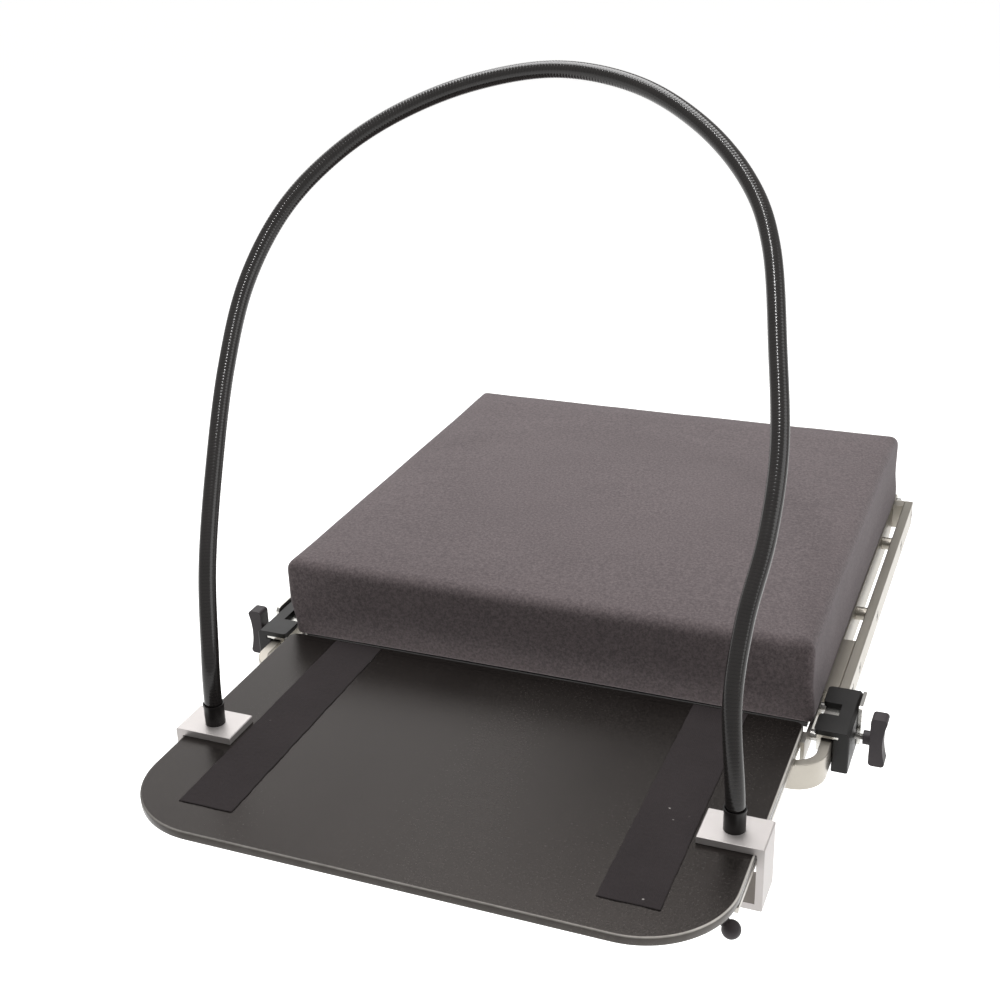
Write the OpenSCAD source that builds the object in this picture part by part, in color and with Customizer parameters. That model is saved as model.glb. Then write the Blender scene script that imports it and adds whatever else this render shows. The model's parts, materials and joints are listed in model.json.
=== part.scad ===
// Head section of a treatment table: a square head pad on a railed frame, a hand rest board in
// front of it, and a gooseneck arch that holds a drape clear of the face.
// Origin: centre of the four bolts that fasten the hinge brackets to the table.
// +X is to the right, +Y towards the table and +Z up. The head end points along -Y.

/* [Cushion] */
// Width of the pad
cushion_w = 528; // [480:1:560]
// Length of the pad
cushion_l = 527; // [440:1:620]
// Thickness of the pad at its edge
cushion_t = 78; // [60:1:110]
// Rise of the crown above the edge
cushion_crown = 4; // [0:0.5:10]
// Plan radius of the pad's corners
cushion_corner = 12; // [10:1:40]
// Radius of the pad's top edge
cushion_edge = 12; // [8:1:26]
// How far the sides draw in between their corners and towards the bottom
cushion_draw = 1.5; // [0:0.5:8]
// Thickness of the wooden base inside the cover
base_t = 12; // [9:1:18]
// Width of the base edge that the cover is folded round
base_inset = 13; // [12:1:20]
// Thickness of the wadding round the foam
wadding_t = 14; // [12:1:20]

/* [Deck] */
// Gap between the table's face and the pad
cushion_gap = 33; // [31:1:60]
// Thickness of the deck panel
deck_t = 5; // [3:0.5:8]
// Thickness of the side plates
side_t = 5.6; // [4:0.2:8]
// Depth of the side plates below the deck line
side_drop = 26; // [20:1:40]
// Height of the cross rails
cross_h = 20; // [16:1:30]
// Width of the cross rails
cross_w = 30; // [20:1:40]
// Wall of the cross rails
cross_wall = 2.5; // [2:0.5:4]
// Thickness of one layer of hook or loop tape
tape_t = 1.5; // [1:0.1:2]
// Width of the tape under the pad
tape_w = 50; // [25:1:75]

/* [Side rails] */
// Distance from the side of the pad to the outer face of the rail
rail_reach = 18.5; // [18.5:0.5:30]
// Height of the rails
rail_h = 28.6; // [26:0.1:32]
// Thickness of the rails
rail_t = 9.5; // [8:0.1:11]
// Gap between a side plate and its rail
rail_gap = 11.4; // [10.5:0.1:14]
// Diameter of the round spacers
spacer_d = 14; // [10:1:18]
// Length of the front blocks
front_block_l = 103; // [60:1:120]
// Length of the rear blocks
rear_block_l = 16; // [12:1:30]

/* [Head-end bar] */
// Height of the bar
end_bar_h = 25.4; // [20:0.1:28]
// How far the bar reaches past the pad
end_bar_reach = 67; // [60:1:80]
// Outer radius of its two bends
end_bar_r = 28; // [20:1:32]

/* [Hand rest board] */
// Gap between the board's sides and the plates of its arms
board_side_gap = 0.1; // [0.1:0.1:1]
// Length of the board
board_l = 323; // [290:1:420]
// Thickness of the board
board_t = 8; // [6:0.5:12]
// Radius of the front corners
board_corner = 78; // [20:1:90]
// Radius of the back corners
board_back_corner = 9; // [4:1:20]
// Chamfer round the edges
board_chamfer = 1.2; // [0.5:0.1:2]
// Gap between the pad and the board
board_gap = 18; // [12:1:24]
// Thickness of the bars under the board
arm_t = 5; // [4:0.5:6]
// Width of the bars under the board
arm_w = 25; // [16:1:26]
// Thickness of the plates that reach back to the rail clamps
arm_plate_t = 3.5; // [3:0.1:4]
// Distance from the side of the board to its tape
strip_inset = 51; // [50:1:100]
// Width of the tape on the board
strip_w = 50; // [20:1:50]

/* [Rail clamps] */
// Length of a clamp along the rail
clamp_l = 78; // [66:1:79]
// Width of the notch between the two fingers
clamp_notch = 20; // [12:1:26]
// Thickness of the fingers
finger_t = 5; // [4:0.5:8]
// Thickness of the steel hook
hook_t = 3; // [2:0.5:4]
// Thickness of the body outside the rail
clamp_web = 15; // [14:0.5:20]
// Depth of the body below the centre of the rail
clamp_drop = 18; // [15:0.5:24]
// Diameter of the clamping stud
stud_d = 6; // [5:0.5:8]
// Thread pitch of the stud
stud_pitch = 1; // [0.8:0.05:1.25]
// Turns that the stud opens
stud_turns = 3; // [1:1:3]
// Height of the knob's bar
knob_h = 49; // [36:1:60]
// Depth of the knob's bar
knob_w = 15; // [12:1:18]
// Thickness of the knob's bar
knob_t = 14.5; // [12:0.5:18]

/* [Arch clamps] */
// Gap between the back of a clamp and the board's edge
arch_clamp_gap = 1.15; // [0.5:0.05:4]
// Length of a clamp's arms
arch_clamp_l = 55; // [50:1:56]
// Depth of a clamp along the board
arch_clamp_d = 40; // [24:1:60]
// Overall height of a clamp
arch_clamp_h = 59; // [56:1:80]
// Wall of a clamp
arch_clamp_wall = 6.35; // [5:0.05:8]
// Distance from the pad's front face to the arch
arch_y = 198; // [190:1:205]
// Distance from the back of a clamp to its clamping screw
screw_inset = 45.5; // [43.5:0.5:46.5]
// Diameter of the clamping screw
screw_d = 8; // [6:1:8]
// Diameter of the screw's pressure pad
press_d = 16; // [12:1:17]
// Diameter of the lever's ball
ball_d = 16.4; // [12:0.2:20]

/* [Gooseneck arch] */
// Outer diameter of the sheath
neck_d = 16; // [14:0.5:17]
// How far the arch leans over the pad, in degrees
neck_lean = 43; // [0:1:50]
// Height over which the lean builds up from the upright feet
lean_start = 100; // [60:5:150]
// Wall of the sheath
sheath_wall = 1.3; // [1:0.1:2]
// Depth of the ribs
rib_depth = 0.45; // [0.2:0.05:0.8]
// Number of ribs
rib_count = 160; // [60:1:200]
// Distance from the back of a clamp to the foot of the arch in it
foot_inset = 28.8; // [25:0.1:31]
// Outer diameter of the end ferrules
ferrule_d = 19; // [18.5:0.5:22]
// Height of the end ferrules
ferrule_h = 20; // [14:1:26]

/* [Hinge] */
// Diameter of the hinge shaft
shaft_d = 12; // [10:1:14]
// Distance from the table's face to the hinge shaft
pivot_y = 23; // [22:1:26]
// Thickness of the brackets
bracket_t = 8; // [6:1:8]
// Width of each bracket
bracket_w = 50; // [40:1:80]
// Height of each bracket
bracket_h = 64; // [56:1:100]
// Bolt spacing up and down
bolt_z = 40; // [36:1:44]
// Diameter of the bolt holes
bolt_hole_d = 9; // [6.5:0.1:11]

/* [Hidden] */
seat_gap = 0.3;      // clearance between pieces that move past each other
run_gap = 0.05;      // radial clearance of a running fit
press_gap = 0.02;    // radial clearance of a pressed or screwed fit
cut = 1;             // how far a cutter runs past a face
$fn = 64;

// Heights, from the centre line of the rails
rail_top = rail_h / 2;
seat_z = rail_top + 0.4;                       // underside of the pad
deck_top = seat_z - 2 * tape_t;
end_bar_top = end_bar_h / 2;
board_z = end_bar_top + 0.4 + arm_t;           // underside of the board
board_top = board_z + board_t;

// Places along X, on the right-hand side
rail_out = cushion_w / 2 + rail_reach;
rail_in = rail_out - rail_t;
side_out = rail_in - rail_gap;
side_in = side_out - side_t;
arm_out = side_out;
arm_in = arm_out - arm_plate_t;
board_w = 2 * (arm_in - board_side_gap);
strip_x = board_w / 2 - strip_inset - strip_w; // inner edge of the board's tape

// Places along Y; the pad's front face is the datum for what lies in front of it
cushion_back = -cushion_gap;
cushion_front = cushion_back - cushion_l;
rail_back = cushion_back - 4;
clamp_front = cushion_front - 20;
clamp_back = clamp_front + clamp_l;
clamp_mid = clamp_front + clamp_l / 2;
block_front = clamp_back + 4;
block_back = block_front + front_block_l;
rear_block_front = rail_back - rear_block_l;
bar_joint = cushion_front + 15;                // where the rails meet the head-end bar
deck_front = cushion_front + 6;
deck_back = rail_back;
board_back = cushion_front - board_gap;
board_front = board_back - board_l;
bay = rear_block_front - block_back;           // between the two blocks
spacer_ys = [for (share = [0.25, 0.77]) block_back + share * bay];
cross_ys = [block_front + cross_w / 2 + 6, rear_block_front - cross_w / 2 - 6];

// Hinge
bracket_out = side_in - seat_gap;
bracket_in = bracket_out - bracket_w;
bolt_x = bracket_in + bracket_w * 0.36;
knuckle_r = rail_top;

// Rail clamps
hook_z = rail_top + seat_gap;
hook_top = hook_z + hook_t;
clamp_top = hook_top + finger_t;
clamp_in = rail_in - 7;                        // inner end of the fingers
hook_lip_out = rail_in - seat_gap;
hook_lip_t = 4;
hook_lip_z = 1;
web_in = rail_out + 0.4;
web_out = web_in + clamp_web;
hook_out = web_in + 5;
finger_l = (clamp_l - clamp_notch) / 2;
finger_ys = [clamp_front + finger_l / 2, clamp_back - finger_l / 2];
stud_y = clamp_mid - 2;
clamp_pad_t = 5;
clamp_pad_l = 36;
clamp_pad_h = 18;
stud_travel = stud_pitch * stud_turns;
knob_x = web_out + 7.2;                        // inner face of the knob's hub
hub_l = 6.4;
plate_t = 3.5;

// Arch clamps, feet and screws
arch_plane = cushion_front - arch_y;
arch_out = board_w / 2 + arch_clamp_gap + arch_clamp_wall;
foot_x = arch_out - foot_inset;
screw_x = arch_out - screw_inset;
arch_in = arch_out - arch_clamp_l;
arch_plate_top = board_top + arch_clamp_wall;
arch_low = arch_plate_top - arch_clamp_h;
neck_r = neck_d / 2;
bore_r = neck_r - sheath_wall;
core_r = bore_r - seat_gap;
cup_r = neck_r + 0.6;
foot_z = arch_plate_top + ferrule_h + 1.5;     // centre of the arch's round ends
press_t = 4;
hub_z = board_z - 65;
lever_end = [19, -6, -15];                     // ball centre from the hub, right-hand side

// ---- shared shapes -------------------------------------------------------------------------

// A box from its low corner to its high corner
module span(low, high) { translate(low) cube(high - low); }

// The same shape on both sides of the centre plane
module both() {
    children();
    mirror([1, 0, 0]) children();
}

// The shape on the left (-1) or on the right (1)
module hand(side) {
    if (side > 0) children();
    else mirror([1, 0, 0]) children();
}

// A cylinder along X between two places
module rod_x(x0, x1, d, y, z) {
    translate([x0, y, z]) rotate([0, 90, 0]) cylinder(d = d, h = x1 - x0);
}

// A flat plate in the XY plane with rounded corners, as exact arcs
module rounded(w, l, r) {
    square([w - 2 * r, l], center = true);
    square([w, l - 2 * r], center = true);
    for (x = [-1, 1], y = [-1, 1]) translate([x * (w / 2 - r), y * (l / 2 - r)]) circle(r);
}

// One closed outline with round corners: half width, front and back edges, radii, in at z.
// The four corners have the same number of steps, so that such outlines can be lofted.
function outline(half_w, front, back, r_front, r_back, z, steps) = [
    for (q = [0:3]) let (
        r = q < 2 ? r_back : r_front,
        cx = (q == 0 || q == 3 ? 1 : -1) * (half_w - r),
        cy = q < 2 ? back - r : front + r
    ) for (i = [0:steps]) let (a = 90 * q + 90 * i / steps) [cx + r * cos(a), cy + r * sin(a), z]
];

// A closed solid through a stack of outlines with equally many points, counter-clockwise from above
module loft(rings) {
    n = len(rings[0]);
    last = len(rings) - 1;
    polyhedron(
        points = [for (ring = rings) each ring],
        faces = concat(
            [[for (i = [0:n - 1]) i]],
            [[for (i = [0:n - 1]) last * n + n - 1 - i]],
            [for (k = [0:last - 1], i = [0:n - 1]) let (j = (i + 1) % n)
                [k * n + i, (k + 1) * n + i, (k + 1) * n + j]],
            [for (k = [0:last - 1], i = [0:n - 1]) let (j = (i + 1) % n)
                [k * n + i, (k + 1) * n + j, k * n + j]]
        )
    );
}

// ---- hinge to the table --------------------------------------------------------------------

module hinge_brackets() {
    color("dimgray") both() difference() {
        union() {
            span([bracket_in, -bracket_t, -bracket_h / 2], [bracket_out, 0, bracket_h / 2]);
            rod_x(bracket_out - bracket_t, bracket_out, 2 * knuckle_r - 2, -pivot_y, 0);
            span([bracket_out - bracket_t, -pivot_y, 1 - knuckle_r], [bracket_out, -bracket_t, knuckle_r - 1]);
        }
        rod_x(bracket_out - bracket_t - cut, bracket_out + cut, shaft_d + 2 * press_gap, -pivot_y, 0);
        for (z = [-1, 1]) translate([bolt_x, cut, z * bolt_z / 2]) rotate([90, 0, 0])
            cylinder(d = bolt_hole_d, h = bracket_t + 2 * cut);
    }
}

collar_l = 5;
module hinge_shaft() {
    color("silver") rod_x(-side_out - seat_gap - collar_l, side_out + seat_gap + collar_l, shaft_d, -pivot_y, 0);
}

module shaft_collars() {
    color("gray") both() difference() {
        rod_x(side_out + seat_gap, side_out + seat_gap + collar_l, shaft_d + 8, -pivot_y, 0);
        rod_x(side_out, side_out + seat_gap + collar_l + cut, shaft_d + 2 * press_gap, -pivot_y, 0);
    }
}

// ---- deck frame ----------------------------------------------------------------------------

// Side plate: deep in the middle, tapering to the hinge knuckle, with a drilled knuckle
module side_plate() {
    toe = 30;
    translate([side_in, 0, 0]) rotate([90, 0, 90]) linear_extrude(side_t) difference() {
        union() {
            translate([-pivot_y, 0]) circle(knuckle_r);
            polygon([
                [-pivot_y, rail_top], [block_front, rail_top], [block_front, toe - side_drop - knuckle_r],
                [block_front + toe, -side_drop], [rail_back - 2 * toe, -side_drop],
                [rail_back, -knuckle_r], [-pivot_y, -knuckle_r]
            ]);
        }
        translate([-pivot_y, 0]) circle(d = shaft_d + 2 * run_gap);
    }
}
module side_plate_left() { color("lightgray") hand(-1) side_plate(); }
module side_plate_right() { color("lightgray") hand(1) side_plate(); }

// Folded tray: a flat top with turned-down front and back edges
module deck_panel() {
    lip_t = 3;
    lip_h = 16;
    color("gainsboro") difference() {
        union() {
            span([-side_in, deck_front, deck_top - deck_t], [side_in, deck_back, deck_top]);
            for (y = [deck_front, deck_back - lip_t])
                span([-side_in + 12, y, deck_top - lip_h], [side_in - 12, y + lip_t, deck_top - deck_t]);
        }
        at_deck_screws() {
            translate([0, 0, -deck_t - cut]) cylinder(d = deck_screw_d + 2 * press_gap, h = deck_t + 2 * cut);
            translate([0, 0, -deck_head_h]) cylinder(d1 = deck_screw_d, d2 = deck_head_d, h = deck_head_h + 0.01);
        }
    }
}

module cross_rails() {
    z = deck_top - deck_t - cross_h;
    color("dimgray") difference() {
        for (y = cross_ys) difference() {
            span([-side_in, y - cross_w / 2, z], [side_in, y + cross_w / 2, z + cross_h]);
            span([-side_in - cut, y - cross_w / 2 + cross_wall, z + cross_wall],
                 [side_in + cut, y + cross_w / 2 - cross_wall, z + cross_h - cross_wall]);
        }
        at_deck_screws() translate([0, 0, -deck_t - cross_wall - cut])
            cylinder(d = deck_screw_d + 2 * press_gap, h = cross_wall + 2 * cut);
    }
}

// Rail: a flat bar with broken edges, drilled for its screws
rail_bevel = 0.8;
rail_screw_ys = [block_front + front_block_l / 3, block_back - front_block_l / 4, spacer_ys[0],
                 spacer_ys[1], rail_back - rear_block_l / 2];
rail_screw_d = 6;
rail_head_d = 11;
rail_head_h = 3;
module accessory_rail() {
    h = rail_h / 2;
    b = rail_bevel;
    difference() {
        translate([0, rail_back, 0]) rotate([90, 0, 0]) linear_extrude(rail_back - bar_joint) polygon([
            [rail_in + b, -h], [rail_out - b, -h], [rail_out, b - h], [rail_out, h - b],
            [rail_out - b, h], [rail_in + b, h], [rail_in, h - b], [rail_in, b - h]
        ]);
        for (y = rail_screw_ys) {
            rod_x(rail_in - cut, rail_out + cut, rail_screw_d + 2 * press_gap, y, 0);
            rod_x(rail_out - rail_head_h, rail_out + cut, rail_head_d + 2 * press_gap, y, 0);
        }
    }
}
module accessory_rail_left() { color("silver") hand(-1) accessory_rail(); }
module accessory_rail_right() { color("silver") hand(1) accessory_rail(); }

// Blocks that carry the rails at both ends, bored for the screws
module rail_block(y0, y1) {
    difference() {
        span([side_out, y0, -rail_top], [rail_in, y1, rail_top]);
        for (y = rail_screw_ys) if (y > y0 && y < y1)
            rod_x(side_out - cut, rail_in + cut, rail_screw_d + 2 * press_gap, y, 0);
    }
}
module front_blocks() { color("silver") both() rail_block(block_front, block_back); }
module rear_blocks() { color("silver") both() rail_block(rear_block_front, rail_back); }

module rail_spacers() {
    color("silver") both() for (y = spacer_ys) difference() {
        rod_x(side_out, rail_in, spacer_d, y, 0);
        rod_x(side_out - cut, rail_in + cut, rail_screw_d + 2 * press_gap, y, 0);
    }
}

// Countersunk into the rail and ending on the side plate
module rail_screws() {
    color("gray") both() for (y = rail_screw_ys) union() {
        rod_x(side_out, rail_out - rail_head_h, rail_screw_d, y, 0);
        difference() {
            rod_x(rail_out - rail_head_h, rail_out - 0.3, rail_head_d, y, 0);
            translate([rail_out - 1.8, y, 0]) rotate([0, 90, 0]) cylinder(d = 4.6, h = 3, $fn = 6);
        }
    }
}

// Flat bar bent round the head end, edge up
module head_end_bar() {
    front = cushion_front - end_bar_reach;
    bend_y = front + end_bar_r;
    bend_x = rail_out - end_bar_r;
    color("silver") translate([0, 0, -end_bar_h / 2]) linear_extrude(end_bar_h) union() {
        translate([-bend_x, front]) square([2 * bend_x, rail_t]);
        for (side = [-1, 1]) {
            translate([side * (rail_out - rail_t / 2) - rail_t / 2, bend_y]) square([rail_t, bar_joint - bend_y]);
            translate([side * bend_x, bend_y]) intersection() {
                difference() {
                    circle(end_bar_r);
                    circle(end_bar_r - rail_t);
                }
                translate([side > 0 ? 0 : -end_bar_r, -end_bar_r]) square(end_bar_r);
            }
        }
    }
}

deck_screw_d = 6;
deck_head_d = 11;
deck_head_h = 2.5;
deck_screw_xs = [-0.8, -0.3, 0.3, 0.8] * side_in;
module at_deck_screws() { for (y = cross_ys, x = deck_screw_xs) translate([x, y, deck_top]) children(); }

// Flush countersunk screws from the deck into the cross rails
module deck_screws() {
    l = deck_t + cross_wall + 3;
    color("gray") at_deck_screws() union() {
        translate([0, 0, -l]) cylinder(d = deck_screw_d, h = l - deck_head_h + 0.2);
        translate([0, 0, 0.2 - deck_head_h]) cylinder(d1 = deck_screw_d, d2 = deck_head_d - 0.9, h = deck_head_h - 0.2);
    }
}

deck_tape_xs = [-0.55, 0, 0.55] * side_in;
module tape_strips(z) {
    for (x = deck_tape_xs)
        span([x - tape_w / 2, deck_front + 40, z], [x + tape_w / 2, deck_back - 40, z + tape_t]);
}
module deck_tapes() { color("black") tape_strips(deck_top); }

// ---- cushion -------------------------------------------------------------------------------

corner_steps = 6;
side_steps = 7;
pad_mid = (cushion_front + cushion_back) / 2;
// Height that the crown adds at a place on the pad: a dome that falls to nothing at the sides
function crown_at(x, y) = cushion_crown
    * max(0, 1 - pow(2 * x / cushion_w, 2)) * max(0, 1 - pow(2 * (y - pad_mid) / cushion_l, 2));
// Outline of the pad taken in from its edge; each side draws in along a parabola
function pad_ring(inset, draw) = let (
    half_w = cushion_w / 2 - inset, half_l = cushion_l / 2 - inset, r = max(cushion_corner - inset * 0.6, 3)
) [
    for (q = [0:3]) let (sx = q == 0 || q == 3 ? 1 : -1, sy = q < 2 ? 1 : -1)
    each concat(
        [for (i = [0:corner_steps]) let (a = 90 * (q + i / corner_steps))
            [sx * (half_w - r) + r * cos(a), sy * (half_l - r) + r * sin(a)]],
        [for (i = [1:side_steps - 1]) let (along = 1 - 2 * i / side_steps, pull = draw * (1 - along * along))
            q % 2 == 0 ? [sx * along * (half_w - r), sy * (half_l - pull)]
                       : [sx * (half_w - pull), sy * along * (half_l - r)]]
    )
];
function pad_points(inset, z, draw, crowned = 0) = [
    for (p = pad_ring(inset, draw)) [p[0], pad_mid + p[1], z + crowned * crown_at(p[0], pad_mid + p[1])]
];

// Cover with its wadding: drawn-in sides, a rolled top edge and a crowned top, over a foam core
module cushion_cover() {
    top = seat_z + cushion_t;
    e = cushion_edge;
    color("dimgray") difference() {
        loft(concat(
            [pad_points(4, seat_z, cushion_draw), pad_points(1.2, seat_z + 2.5, cushion_draw)],
            [for (t = [0.15, 0.5]) pad_points(1 - t, seat_z + (cushion_t - e) * t, cushion_draw * (1 - t / 2))],
            [for (a = [0:15:75]) pad_points(e * (1 - cos(a)), top - e + e * sin(a), cushion_draw / 2, sin(a))],
            [for (f = [0, 0.07, 0.2, 0.4, 0.6, 0.8, 0.96]) pad_points(e + (cushion_w / 2 - e) * f, top, 0, 1)]
        ));
        translate([0, 0, seat_z - cut]) pad_block(base_inset, base_t + cut);
        translate([0, 0, seat_z + base_t - cut]) pad_block(wadding_t, foam_h + cut);
    }
}

// A plain block under the pad's outline, taken in all round
module pad_block(inset, h) {
    translate([0, pad_mid, 0]) linear_extrude(h)
        rounded(cushion_w - 2 * inset, cushion_l - 2 * inset, cushion_corner - 4);
}

foam_h = cushion_t - base_t - wadding_t;
module cushion_foam() {
    color("khaki") translate([0, 0, seat_z + base_t]) pad_block(wadding_t, foam_h);
}
module cushion_base() {
    color("tan") translate([0, 0, seat_z]) pad_block(base_inset, base_t);
}
module cushion_tapes() { color("black") tape_strips(deck_top + tape_t); }

// ---- hand rest board -----------------------------------------------------------------------

board_screw_ys = [board_front + 60, (board_front + board_back) / 2, board_back - 34];
board_screw_x = board_w / 2 - 13;
module rest_board() {
    c = board_chamfer;
    function ring(inset, z) = outline(board_w / 2 - inset, board_front + inset, board_back - inset,
        board_corner - inset, board_back_corner - inset, z, 12);
    color("darkslategray") difference() {
        loft([ring(c, board_z), ring(0, board_z + c), ring(0, board_top - c), ring(c, board_top)]);
        both() for (y = board_screw_ys) translate([board_screw_x, y, board_z - cut])
            cylinder(d = 4 + 2 * press_gap, h = board_t - 2 + cut);
    }
}

strip_t = 1;
module board_tapes() {
    color("black") both() translate([strip_x, board_front + 36, board_top])
        cube([strip_w, board_l - 39, strip_t]);
}

// Flat bar under the board's edge with a plate that reaches back beside the rail
module board_arm() {
    bar_front = board_front + board_corner - 10;
    plate_front = cushion_front - end_bar_reach + rail_t + 19.5;
    plate_low = hook_lip_z - 5;
    difference() {
        union() {
            span([arm_in - arm_w, bar_front, board_z - arm_t], [arm_in, board_back - 2, board_z]);
            span([arm_in, plate_front, plate_low], [arm_out, board_back - 2, board_z]);
            span([arm_in, board_back - 2 - cut, plate_low], [arm_out, clamp_back, deck_top]);
        }
        for (y = board_screw_ys) translate([board_screw_x, y, board_z - arm_t - cut])
            cylinder(d = 4 + 2 * press_gap, h = arm_t + 2 * cut);
        for (y = finger_ys) rod_x(arm_in - cut, arm_out + cut, hook_screw_d + 2 * press_gap, y, hook_screw_z);
    }
}
module board_arm_left() { color("silver") hand(-1) board_arm(); }
module board_arm_right() { color("silver") hand(1) board_arm(); }

// Flush screws from below through the bars into the board
module board_screws() {
    color("gray") both() for (y = board_screw_ys) translate([board_screw_x, y, board_z - arm_t])
        cylinder(d = 4, h = arm_t + board_t - 2);
}

// ---- rail clamps ---------------------------------------------------------------------------

hook_screw_d = 5;
hook_screw_z = 7;
module hook_spacers() {
    color("silver") both() for (y = finger_ys) difference() {
        rod_x(arm_out, hook_lip_out - hook_lip_t, 10, y, hook_screw_z);
        rod_x(arm_out - cut, hook_lip_out + cut, hook_screw_d + 2 * press_gap, y, hook_screw_z);
    }
}
module hook_screws() {
    color("gray") both() for (y = finger_ys) rod_x(arm_in, hook_lip_out, hook_screw_d, y, hook_screw_z);
}

// Steel hook over the rail: a flat top and a lip behind the rail
module rail_hook() {
    difference() {
        union() {
            span([hook_lip_out - hook_lip_t, clamp_front + 1, hook_z], [hook_out, clamp_back - 1, hook_top]);
            span([hook_lip_out - hook_lip_t, clamp_front + 1, hook_lip_z], [hook_lip_out, clamp_back - 1, hook_z]);
        }
        for (y = finger_ys)
            rod_x(arm_out, hook_lip_out + cut, hook_screw_d + 2 * press_gap, y, hook_screw_z);
    }
}
module rail_hook_left() { color("silver") hand(-1) rail_hook(); }
module rail_hook_right() { color("silver") hand(1) rail_hook(); }

// Moulded body: two fingers on the hook and a deep web outside the rail, pocketed for the pad
module clamp_body() {
    bevel = 3;
    r = 4;
    translate([0, 0, -clamp_drop]) difference() {
        union() {
            linear_extrude(clamp_top + clamp_drop)
                translate([(web_in + web_out) / 2, clamp_mid]) rounded(clamp_web, clamp_l, 2);
            for (y = finger_ys) translate([(clamp_in + hook_out) / 2 + 1, y, hook_top + clamp_drop])
                linear_extrude(finger_t) rounded(hook_out - clamp_in + 2, finger_l, r);
        }
        // bevelled outer top edge
        translate([web_out, clamp_mid, clamp_top + clamp_drop]) rotate([0, 45, 0])
            cube([2 * bevel, clamp_l + 2, bevel * sqrt(2)], center = true);
        // seat of the steel hook
        span([web_in - 9, clamp_front - cut, hook_z + clamp_drop - 0.01],
             [hook_out, clamp_back + cut, hook_top + clamp_drop]);
        // pocket of the pressure pad and bore of the stud
        span([web_in - cut, stud_y - clamp_pad_l / 2 - seat_gap, clamp_drop - clamp_pad_h / 2 - seat_gap],
             [pocket_back, stud_y + clamp_pad_l / 2 + seat_gap, clamp_drop + clamp_pad_h / 2 + seat_gap]);
        rod_x(web_in, web_out + cut, stud_d + 2 * run_gap, stud_y, clamp_drop);
    }
}
pocket_back = rail_out + clamp_pad_t + stud_travel + seat_gap;
module clamp_body_left() { color("black") hand(-1) clamp_body(); }
module clamp_body_right() { color("black") hand(1) clamp_body(); }

// Bright stiffening plate outside the body, behind the stud
module clamp_plate() {
    y0 = stud_y + stud_d / 2 + 4;
    y1 = clamp_back;
    z0 = 2 - clamp_drop;
    z1 = clamp_top + 2;
    translate([web_out, (y0 + y1) / 2, (z0 + z1) / 2]) rotate([90, 0, 90])
        linear_extrude(plate_t) rounded(y1 - y0, z1 - z0, 5);
}
module clamp_plate_left() { color("silver") hand(-1) clamp_plate(); }
module clamp_plate_right() { color("silver") hand(1) clamp_plate(); }

module clamp_pad() {
    span([rail_out, stud_y - clamp_pad_l / 2, -clamp_pad_h / 2],
         [rail_out + clamp_pad_t, stud_y + clamp_pad_l / 2, clamp_pad_h / 2]);
}
module clamp_pad_left() { color("gray") hand(-1) clamp_pad(); }
module clamp_pad_right() { color("gray") hand(1) clamp_pad(); }

module knob_stud() { rod_x(rail_out + clamp_pad_t, knob_x + hub_l, stud_d, stud_y, 0); }
module knob_stud_left() { color("silver") hand(-1) knob_stud(); }
module knob_stud_right() { color("silver") hand(1) knob_stud(); }

// Bar knob: a round hub and a bar with a dished outer face and swept-back ends
module rail_knob() {
    bar_x = knob_x + hub_l;
    dish_r = 70;
    dish = 3;
    sweep_r = 40;
    sweep = 4;
    union() {
        difference() {
            rod_x(knob_x, bar_x + 3, 13, stud_y, 0);
            rod_x(knob_x - cut, bar_x, stud_d + 2 * press_gap, stud_y, 0);
        }
        translate([bar_x, stud_y + knob_w / 2, 0]) rotate([90, 0, 0]) linear_extrude(knob_w) difference() {
            translate([knob_t / 2, 0]) rounded(knob_t, knob_h, 3.5);
            translate([knob_t + dish_r - dish, 0]) circle(dish_r, $fn = 180);
            for (side = [-1, 1]) translate([sweep - sweep_r, side * (sweep_r + knob_h / 2 - 12)])
                circle(sweep_r, $fn = 120);
        }
    }
}
module rail_knob_left() { color("black") hand(-1) rail_knob(); }
module rail_knob_right() { color("black") hand(1) rail_knob(); }

// ---- arch clamps ---------------------------------------------------------------------------

// Squared C of thick plate round the board's edge, bored for the foot's spigot and the screw
spigot_d = 8;
module arch_clamp() {
    w = arch_clamp_wall;
    b = 0.8;
    difference() {
        translate([0, arch_plane + arch_clamp_d / 2, 0]) rotate([90, 0, 0]) linear_extrude(arch_clamp_d) polygon([
            [arch_in, board_top], [arch_in, arch_plate_top - b], [arch_in + b, arch_plate_top],
            [arch_out - b, arch_plate_top], [arch_out, arch_plate_top - b], [arch_out, arch_low + b],
            [arch_out - b, arch_low], [arch_in + b, arch_low], [arch_in, arch_low + b],
            [arch_in, arch_low + w], [arch_out - w, arch_low + w], [arch_out - w, board_top]
        ]);
        translate([foot_x, arch_plane, board_top - cut]) cylinder(d = spigot_d + 2 * press_gap, h = w + 2 * cut);
        translate([screw_x, arch_plane, arch_low - cut]) cylinder(d = screw_d + 2 * run_gap, h = w + 2 * cut);
    }
}
module arch_clamp_left() { color("lightgray") hand(-1) arch_clamp(); }
module arch_clamp_right() { color("lightgray") hand(1) arch_clamp(); }

// Ferrule with a spigot in the clamp, a rim and a round cup for the end of the arch
module arch_ferrule() {
    rim = 2;
    translate([foot_x, arch_plane, arch_plate_top]) difference() {
        union() {
            translate([0, 0, -arch_clamp_wall + seat_gap]) cylinder(d = spigot_d, h = arch_clamp_wall);
            cylinder(d = ferrule_d - 1, h = ferrule_h);
            translate([0, 0, ferrule_h - rim]) cylinder(d = ferrule_d, h = rim);
        }
        translate([0, 0, foot_z - arch_plate_top]) sphere(cup_r);
    }
}
module arch_ferrule_left() { color("black") hand(-1) arch_ferrule(); }
module arch_ferrule_right() { color("black") hand(1) arch_ferrule(); }

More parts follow.
